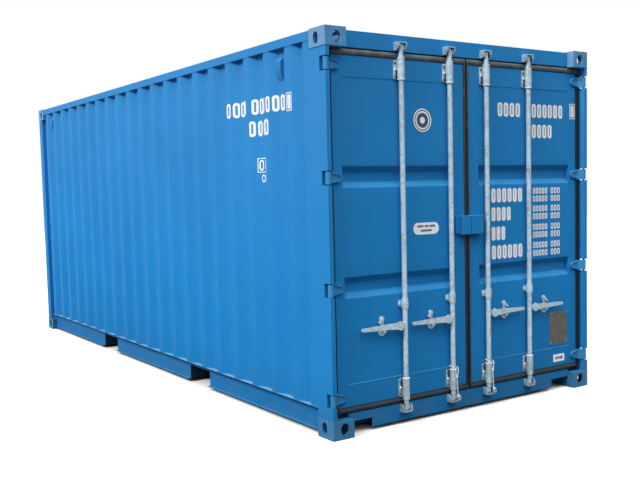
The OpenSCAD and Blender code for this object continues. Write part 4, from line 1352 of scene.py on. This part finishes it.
@dataclass
class Stencil:
    """Draws plain zeros as thin film on a surface."""

    canvas: Canvas
    gap: float = 0.24
    stroke: float = 0.18
    film: float = 0.9
    sunk: float = -0.4
    across_steps: int = 3
    arc_steps: int = 6
    run_steps: int = 14
    roundness: float = 0.82
    least_r: float = 1.5
    box_line: float = 6.0
    box_margin: float = 7.0
    box_r: float = 3.0
    shape: Shape = field(default_factory=Shape)

    def ring(self, outer: Sequence[Point], inner: Sequence[Point]) -> None:
        """Fill the band between two loops with film."""
        loops = [
            [(a + (c - a) * share, b + (d - b) * share) for (a, b), (c, d) in zip(outer, inner)]
            for share in steps(0.0, 1.0, self.across_steps)
        ]
        front = [[self.canvas(a, b, self.film) for a, b in loop] for loop in loops]
        back = [[self.canvas(a, b, self.sunk) for a, b in loop] for loop in reversed(loops)]
        self.shape.skin(front + back, wrap=True, join=True)

    def loop(self, a: float, b: float, half_w: float, half_h: float, round_r: float) -> list[Point]:
        """Rounded outline about a middle, with matching steps for any size."""
        rectangle = (a - half_w, a + half_w, b - half_h, b + half_h)
        outline = rounded_rectangle(rectangle, round_r, self.arc_steps)
        corners = []
        for i, here in enumerate(outline):
            after = Vector(outline[(i + 1) % len(outline)])
            parts = 1 if (i + 1) % (self.arc_steps + 1) else self.run_steps
            corners += [tuple(Vector(here).lerp(after, k / parts)) for k in range(parts)]
        return corners

    def zero(self, a: float, b: float, width: float, height: float) -> None:
        """Draw one zero about a middle."""
        line = height * self.stroke
        half_w, half_h = width / 2, height / 2
        round_r = half_w * self.roundness
        outer = self.loop(a, b, half_w, half_h, round_r)
        inner = self.loop(a, b, half_w - line, half_h - line, max(round_r - line, self.least_r))
        self.ring(outer, inner)

    def box(self, group: Group) -> None:
        """Draw a box round a group."""
        a, b = (group.start + group.stop) / 2, (group.low + group.high) / 2
        half_w = (group.stop - group.start) / 2 + self.box_margin + self.box_line
        half_h = (group.high - group.low) / 2 + self.box_margin + self.box_line
        outer = self.loop(a, b, half_w, half_h, self.box_r)
        inner = self.loop(a, b, half_w - self.box_line, half_h - self.box_line, self.least_r)
        self.ring(outer, inner)

    def draw(self, groups: Sequence[Group]) -> Shape:
        """Draw every group.

        Args:
            groups: The runs of zeros.

        Returns:
            The film as one shape.
        """
        for group in groups:
            pitch = (group.stop - group.start) / (group.count - self.gap)
            width = pitch * (1 - self.gap)
            for k in range(group.count):
                middle = group.start + k * pitch + width / 2
                self.zero(middle, (group.low + group.high) / 2, width, group.high - group.low)
            if group.boxed:
                self.box(group)
        return self.shape


SIDE_GROUPS = (
    Group(1722.0, 2010.0, 2122.0, 2230.0, 4),
    Group(2078.0, 2484.0, 2122.0, 2230.0, 6),
    Group(2572.0, 2610.0, 2121.0, 2215.0, 1, boxed=True),
    Group(2052.0, 2318.0, 1970.0, 2078.0, 4),
    Group(2124.0, 2258.0, 1730.0, 1806.0, 2, boxed=True),
    Group(2150.0, 2264.0, 1650.0, 1702.0, 2),
)

DOOR_GROUPS = (
    Group(312.0, 540.0, 2084.0, 2184.0, 4),
    Group(664.0, 1000.0, 2084.0, 2184.0, 6),
    Group(664.0, 880.0, 1934.0, 2034.0, 4),
    Group(242.0, 556.0, 1466.0, 1568.0, 6),
    Group(242.0, 436.0, 1332.0, 1432.0, 4),
    Group(242.0, 378.0, 1192.0, 1292.0, 3),
    Group(242.0, 556.0, 1056.0, 1156.0, 6),
)
TABLE_LINES = (1542.0, 1484.0, 1410.0, 1352.0, 1272.0, 1214.0, 1136.0, 1076.0)
TABLE_COLUMNS = ((674.0, 828.0, 5), (868.0, 968.0, 3))
TABLE_HEIGHT = 46.0
CHECK_GROUP = Group(1094.0, 1130.0, 2097.0, 2187.0, 1, boxed=True)


@dataclass
class Marks:
    """White marks on the side and on the right door, with plain zeros only."""

    wall: SideWall
    panel: DoorPanel

    def build(self) -> None:
        """Make the marks on each surface."""
        side = Stencil(self.wall.at).draw(SIDE_GROUPS)
        side.make("side_marks", WHITE, Body.FRAME)
        table = [
            Group(start, stop, middle - TABLE_HEIGHT / 2, middle + TABLE_HEIGHT / 2, count)
            for middle in TABLE_LINES
            for start, stop, count in TABLE_COLUMNS
        ]
        door = Stencil(self.panel.at, across_steps=1).draw([*DOOR_GROUPS, *table])
        door.make("door_marks", WHITE, Body.RIGHT_DOOR)
        stile_u = self.panel.envelope.half_l - node_box("right_door_frame")[1].x

        def on_stile(y: float, z: float, lift: float) -> Vector:
            """Point on the door's upright tube."""
            return self.panel.envelope.at_end(stile_u - lift, y, z)

        check = Stencil(on_stile, across_steps=1).draw([CHECK_GROUP])
        check.make("door_check_mark", WHITE, Body.RIGHT_DOOR)


@dataclass
class Labels:
    """Stickers and the data plate, with bars and rings in place of words."""

    left: DoorPanel
    right: DoorPanel
    film: Point = (-1.5, 1.2)
    print_film: Point = (0.6, 1.8)
    sticker_middle: Point = (-397.0, 2038.0)
    sticker_r: float = 78.0
    sticker_rings: tuple[Point, ...] = ((69.0, 62.0), (50.0, 22.0))
    pill_box: Box = (-490.0, -264.0, 1270.0, 1350.0)
    pill_middle: float = -377.0
    pill_rows: tuple[tuple[float, tuple[int, ...]], ...] = ((1326.0, (54, 34, 50)), (1296.0, (98,)))
    bar_gap: int = 10
    data_box: Box = (850.0, 1044.0, 358.0, 608.0)
    data_top: float = 3.2
    data_rows: int = 9
    data_pitch: float = 23.5
    rivet_inset: float = 11.0
    small_box: Box = (888.0, 1014.0, 218.0, 275.0)
    small_bars: tuple[float, ...] = (911.0, 934.0, 957.0, 976.0)

    @staticmethod
    def plate(shape: Shape, panel: DoorPanel, outline: Sequence[Point], span: Point) -> None:
        """Raise an outline from one height above a panel to another."""
        base, top = span
        low = [panel.envelope.at_end(panel.face_u - base, y, z) for y, z in outline]
        shape.slab(low, Vector((top - base, 0, 0)))

    def disc(self, radius: float) -> list[Point]:
        """Outline of a disc about the sticker's middle."""
        y, z = self.sticker_middle
        return [(y + radius * c, z + radius * s) for c, s in circle(48)]

    def round_sticker(self) -> None:
        """White disc with navy rings."""
        white = Shape()
        self.plate(white, self.left, self.disc(self.sticker_r), self.film)
        band = Stencil(self.left.at, across_steps=2, film=2.2, sunk=0.6)
        for outer, inner in self.sticker_rings:
            band.ring(self.disc(outer), self.disc(inner))
        white.make("round_sticker", WHITE, Body.LEFT_DOOR)
        band.shape.make("round_sticker_rings", NAVY, Body.LEFT_DOOR)

    def pill(self) -> None:
        """White label with round ends and two rows of bars."""
        white, bars = Shape(), Shape()
        self.plate(white, self.left, rounded_rectangle(self.pill_box, 39.0, 10), self.film)
        for z, spans in self.pill_rows:
            y = self.pill_middle - (sum(spans) + self.bar_gap * (len(spans) - 1)) / 2
            for span in spans:
                outline = rounded_rectangle((y, y + span, z - 7, z + 7), 2.0, 3)
                self.plate(bars, self.left, outline, self.print_film)
                y += span + self.bar_gap
        white.make("pill_label", WHITE, Body.LEFT_DOOR)
        bars.make("pill_label_bars", INK, Body.LEFT_DOOR)

    def data_plate(self) -> None:
        """Bronze plate with rows of raised bars and a rivet at each corner."""
        y0, y1, z0, z1 = self.data_box
        back, plate, rivets = Shape(), Shape(), Shape()
        outline = rounded_rectangle((y0 - 10, y1 + 8, z0 - 14, z1 + 12), 6.0, 4)
        self.plate(back, self.right, outline, (-1.5, 2.0))
        self.plate(plate, self.right, rounded_rectangle(self.data_box, 6.0, 4), (1.0, self.data_top))
        for row in range(self.data_rows):
            z = z1 - 30 - row * self.data_pitch
            inset = 26 if row % 3 else 44
            outline = rounded_rectangle((y0 + inset, y1 - inset, z - 5, z + 5), 2.0, 3)
            self.plate(plate, self.right, outline, (3.0, 4.0))
        for y in (y0 + self.rivet_inset, y1 - self.rivet_inset):
            for z in (z0 + self.rivet_inset, z1 - self.rivet_inset):
                foot = self.right.envelope.at_end(self.right.face_u - self.data_top, y, z)
                rivets.stud(foot, Vector((1, 0, 0)), [(5.5, -0.5), (5.2, 1.2), (3.6, 2.4), (1.2, 2.9)], 14)
        back.make("data_plate_back", PAINT, Body.RIGHT_DOOR, Slot.BLUE)
        plate.make("data_plate", BRONZE, Body.RIGHT_DOOR)
        rivets.make("data_plate_rivets", ZINC, Body.RIGHT_DOOR, Slot.ZINC)

    def small_label(self) -> None:
        """Small white label with one row of bars, on the door's lower channel."""
        frame_u = self.right.envelope.half_l - node_box("right_door_frame")[1].x
        lift = self.right.face_u - frame_u
        white, bars = Shape(), Shape()
        outline = rounded_rectangle(self.small_box, 4.0, 4)
        self.plate(white, self.right, outline, (lift - 1.5, lift + 1.0))
        for y in self.small_bars:
            outline = rounded_rectangle((y, y + 15, 235.0, 258.0), 4.0, 4)
            self.plate(bars, self.right, outline, (lift + 0.5, lift + 1.8))
        white.make("small_label", WHITE, Body.RIGHT_DOOR)
        bars.make("small_label_bars", NAVY, Body.RIGHT_DOOR)

    def build(self) -> None:
        """Make every label."""
        self.round_sticker()
        self.pill()
        self.data_plate()
        self.small_label()


@dataclass
class PostWelds:
    """Beads where the posts meet the corner castings."""

    bead_r: float = 3.5
    inset: float = 1.0
    door_reach: float = 30.0
    front_reach: float = 92.0

    def corner(self, back: float, end: float, y: float, reach: float) -> list[list[Vector]]:
        """Paths round the two outer faces of a post, at its foot and its head.

        Args:
            back: Where the outer side starts.
            end: Where it meets the end face.
            y: Plane of the outer side.
            reach: Length on the end face, with the sign of Y.

        Returns:
            The two paths.
        """
        low, high = post_span()
        heights = (low + self.inset, high - self.inset)
        return [
            [Vector((back, y, z)), Vector((end, y, z)), Vector((end, y - reach, z))] for z in heights
        ]

    def build(self) -> None:
        """Run a bead round the outer faces of each post's ends."""
        paths = []
        for side in Side:
            low, high = node_box(f"{side.word}_door_post")
            outer = low.y if side is Side.LEFT else high.y
            paths += self.corner(low.x, high.x, outer, side.value * self.door_reach)
        low, high = node_box("front_posts")
        for side in Side:
            paths += self.corner(high.x, low.x, side.value * high.y, side.value * self.front_reach)
        lay_beads("post_welds", paths, self.bead_r)


# Dressing the nodes that stay


class EdgeFinish:
    """Softens a node's edges without touching its mesh."""

    sharp = math.radians(32)
    merge = 0.00001

    def __init__(self) -> None:
        """Find the shared tree, or make it."""
        found = bpy.data.node_groups.get("shade_by_angle")
        self.tree = found or bpy.data.node_groups.new("shade_by_angle", "GeometryNodeTree")
        if found is None:
            self.draw()

    def draw(self) -> None:
        """Weld the faces and shade them smooth, but for the sharp edges."""
        self.tree.interface.new_socket("Geometry", in_out="INPUT", socket_type="NodeSocketGeometry")
        self.tree.interface.new_socket("Geometry", in_out="OUTPUT", socket_type="NodeSocketGeometry")
        sheet = NodeSheet(self.tree)
        source = sheet.add("NodeGroupInput")
        bare = sheet.add("GeometryNodeRemoveAttribute", None, {"Geometry": source, "Name": "custom_normal"})
        merged = sheet.add("GeometryNodeMergeByDistance", None, {"Geometry": bare, "Distance": self.merge})
        smooth = sheet.add(
            "GeometryNodeSetShadeSmooth", {"domain": "FACE"}, {"Geometry": merged, "Shade Smooth": True}
        )
        angle = sheet.add("GeometryNodeInputMeshEdgeAngle")
        soft = sheet.add("FunctionNodeCompare", {"operation": "LESS_THAN"}, {0: angle, 1: self.sharp})
        edges = sheet.add(
            "GeometryNodeSetShadeSmooth", {"domain": "EDGE"}, {"Geometry": smooth, "Shade Smooth": soft}
        )
        sheet.add("NodeGroupOutput", None, {"Geometry": edges})

    def dress(self, node: bpy.types.Object, width: float, segments: int = 2) -> None:
        """Add the modifiers to a node.

        Args:
            node: The node's object.
            width: Width of the softened edge.
            segments: Steps across it.
        """
        shading = node.modifiers.new("shading", "NODES")
        shading.node_group = self.tree
        if width > 0:
            bevel = node.modifiers.new("edges", "BEVEL")
            bevel.width = width * MM
            bevel.segments = segments
            bevel.limit_method = "ANGLE"
            bevel.angle_limit = self.sharp
            bevel.use_clamp_overlap = True
            bevel.harden_normals = True


@dataclass(frozen=True)
class Dressing:
    """Finish and edge width of the nodes that stay in view."""

    finish: Finish
    edge: float
    segments: int
    nodes: tuple[str, ...]


def both(name: str) -> tuple[str, ...]:
    """Names of a node on each side."""
    return tuple(f"{side.word}_{name}" for side in Side)


def numbered(name: str) -> tuple[str, ...]:
    """Names of a node on each of the four lock rods."""
    return tuple(f"{name}_{k}" for k in range(1, 5))


DRESSINGS = (
    Dressing(CAST, 11.0, 4, ("top_corner_castings", "bottom_corner_castings")),
    Dressing(PAINT, 4.0, 3, (*both("door_post"), "front_posts", "top_side_rails")),
    Dressing(PAINT, 2.0, 2, ("bottom_side_rails", "front_sill", "door_sill", "door_header", "front_header")),
    Dressing(PAINT, 3.0, 3, (*both("door_frame"), "ventilators")),
    # Hinge blades in the lighter coat: painted highlights
    Dressing(HINGE_HIGHLIGHT, 2.5, 2, both("hinge_blades")),
    Dressing(PAINT, 2.5, 2, both("lock_box")),
    Dressing(UNDERCOAT, 1.5, 1, ("cross_members", "fork_pockets")),
    Dressing(PLY, 1.0, 1, ("floor_panels",)),
    # Gaskets in the darker rubber: painted shade in the gaps
    Dressing(SEAL_SHADED, 4.0, 3, both("door_gasket")),
    # Keepers in the darker zinc: painted shade
    Dressing(KEEPER_SHADED, 2.5, 2, ("cam_keepers",)),
    Dressing(ZINC, 2.5, 2, numbered("lock_handle")),
    Dressing(ZINC, 2.0, 2, both("rod_brackets")),
    Dressing(ZINC, 1.5, 2, both("handle_retainers")),
    Dressing(PAINT, 1.0, 1, ("hinge_pins",)),
    Dressing(ZINC, 1.5, 2, numbered("lock_rod")),
)


def dress_nodes(nodes: dict[str, bpy.types.Object]) -> None:
    """Give every node that stays its finish and its edges.

    Args:
        nodes: The frame's objects by name.
    """
    edges = EdgeFinish()
    for dressing in DRESSINGS:
        for name in dressing.nodes:
            node = nodes[name]
            node.material_slots[0].material = dressing.finish.material()
            edges.dress(node, dressing.edge, dressing.segments)
            log.info("%s: dressed", name)


# Camera and light


@dataclass(frozen=True)
class PhotoCamera:
    """Camera fitted to the photograph's corners."""

    azimuth: float = 55.544
    elevation: float = 4.361
    roll: float = -1.328
    place: tuple[float, float, float] = (7432.8, -4220.7, 1597.3)
    focal_px: float = 862.0
    centre_px: Point = (332.23, 253.90)
    image_px: Point = (640.0, 479.0)
    sensor: float = 36.0

    def build(self) -> None:
        """Make the camera and use it."""
        a, e, r = (math.radians(angle) for angle in (self.azimuth, self.elevation, self.roll))
        back = Vector((math.sin(a) * math.cos(e), -math.cos(a) * math.cos(e), math.sin(e)))
        right = Vector((0, 0, 1)).cross(back).normalized()
        up = back.cross(right)
        rolled = right * math.cos(r) + up * math.sin(r)
        raised = up * math.cos(r) - right * math.sin(r)
        lens = bpy.data.cameras.new("photo_camera")
        width, height = self.image_px
        lens.sensor_width = self.sensor
        lens.lens = self.focal_px * self.sensor / width
        lens.shift_x = (width / 2 - self.centre_px[0]) / width
        lens.shift_y = (self.centre_px[1] - height / 2) / width
        lens.clip_end = 200.0
        camera = bpy.data.objects.new("photo_camera", lens)
        turned = Matrix((rolled, raised, back)).transposed().to_4x4()
        camera.matrix_world = Matrix.Translation(Vector(self.place) * MM) @ turned
        bpy.context.scene.collection.objects.link(camera)
        bpy.context.scene.camera = camera


@dataclass(frozen=True)
class Lamp:
    """One soft sun."""

    name: str
    energy: float
    source: tuple[float, float, float]
    spread: float

    def build(self) -> None:
        """Make the lamp and turn it to its source."""
        light = bpy.data.lights.new(self.name, "SUN")
        light.energy = self.energy
        light.angle = math.radians(self.spread)
        sun = bpy.data.objects.new(self.name, light)
        sun.rotation_euler = Vector(self.source).to_track_quat("Z", "Y").to_euler()
        bpy.context.scene.collection.objects.link(sun)


@dataclass(frozen=True)
class Studio:
    """White surroundings, a pale floor that keeps the shadow, and soft light from above."""

    sky_low: float = 0.03
    sky_high: float = 1.35
    sky_top: float = 0.80
    lamps: tuple[Lamp, ...] = (
        Lamp("side_sun", 2.45, (0.10, -0.76, 0.64), 20.0),
        Lamp("door_sun", 1.25, (0.42, -0.10, 0.90), 40.0),
    )
    floor_colour: Colour = (0.90, 0.90, 0.90)
    floor_dim: Colour = (0.07, 0.07, 0.075)
    floor_size: float = 60.0

    def seen(self, sheet: NodeSheet) -> Wire:
        """One where the camera, a gloss or a glass looks."""
        kinds = ("Camera", "Glossy", "Transmission")
        camera, gloss, glass = (sheet.add("ShaderNodeLightPath", out=f"Is {kind} Ray") for kind in kinds)
        return camera.either(gloss).either(glass)

    def surroundings(self) -> None:
        """White where it is seen, and a soft light from above elsewhere."""
        world = bpy.data.worlds.new("studio")
        world.use_nodes = True
        sheet = NodeSheet(world.node_tree)
        seen = self.seen(sheet)
        rise = sheet.part(sheet.spot("Generated"), "Z").rise(0.0, self.sky_top)
        light = rise * (self.sky_high - self.sky_low) + self.sky_low
        strength = seen + (1.0 - seen) * light
        shader = sheet.add("ShaderNodeBackground", None, {"Color": (1, 1, 1, 1), "Strength": strength})
        sheet.add("ShaderNodeOutputWorld", None, {"Surface": shader})
        bpy.context.scene.world = world

    def floor(self) -> None:
        """Pale floor that looks white but for the shadow."""
        half = self.floor_size / 2
        mesh = bpy.data.meshes.new("studio_floor")
        corners = [(-half, -half, 0), (half, -half, 0), (half, half, 0), (-half, half, 0)]
        mesh.from_pydata(corners, [], [(0, 1, 2, 3)])
        material = bpy.data.materials.new("studio_floor")
        material.use_nodes = True
        sheet = NodeSheet(material.node_tree)
        seen = self.seen(sheet)
        tone = seen.blend(self.floor_dim, self.floor_colour)
        plain = sheet.add("ShaderNodeBsdfDiffuse", None, {"Color": tone})
        sheet.add("ShaderNodeOutputMaterial", None, {"Surface": plain})
        mesh.materials.append(material)
        floor = bpy.data.objects.new("studio_floor", mesh)
        bpy.context.scene.collection.objects.link(floor)

    def build(self) -> None:
        """Set up the light and the floor."""
        bpy.context.scene.view_settings.view_transform = "Standard"
        self.surroundings()
        self.floor()
        for lamp in self.lamps:
            lamp.build()


def main() -> None:
    """Load the frame and build everything on it."""
    logging.basicConfig(level=logging.INFO, format="%(name)s: %(message)s")
    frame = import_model()
    PhotoCamera().build()
    envelope = Envelope.measured()
    for side in Side:
        TieRope(envelope, side).build()
    Studio().build()
    dress_nodes(frame["nodes"])
    walls = {side: SideWall(envelope, side) for side in Side}
    panels = {side: DoorPanel(envelope, side) for side in Side}
    for side in Side:
        walls[side].build()
        panels[side].build()
        DoorSeal(envelope, side).build()
        LockGear(envelope, side).build()
    FrontWall(envelope).build()
    RoofSheet().build()
    PostWelds().build()
    Marks(walls[Side.LEFT], panels[Side.RIGHT]).build()
    Labels(panels[Side.LEFT], panels[Side.RIGHT]).build()
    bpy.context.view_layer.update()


if __name__ == "__main__":
    main()
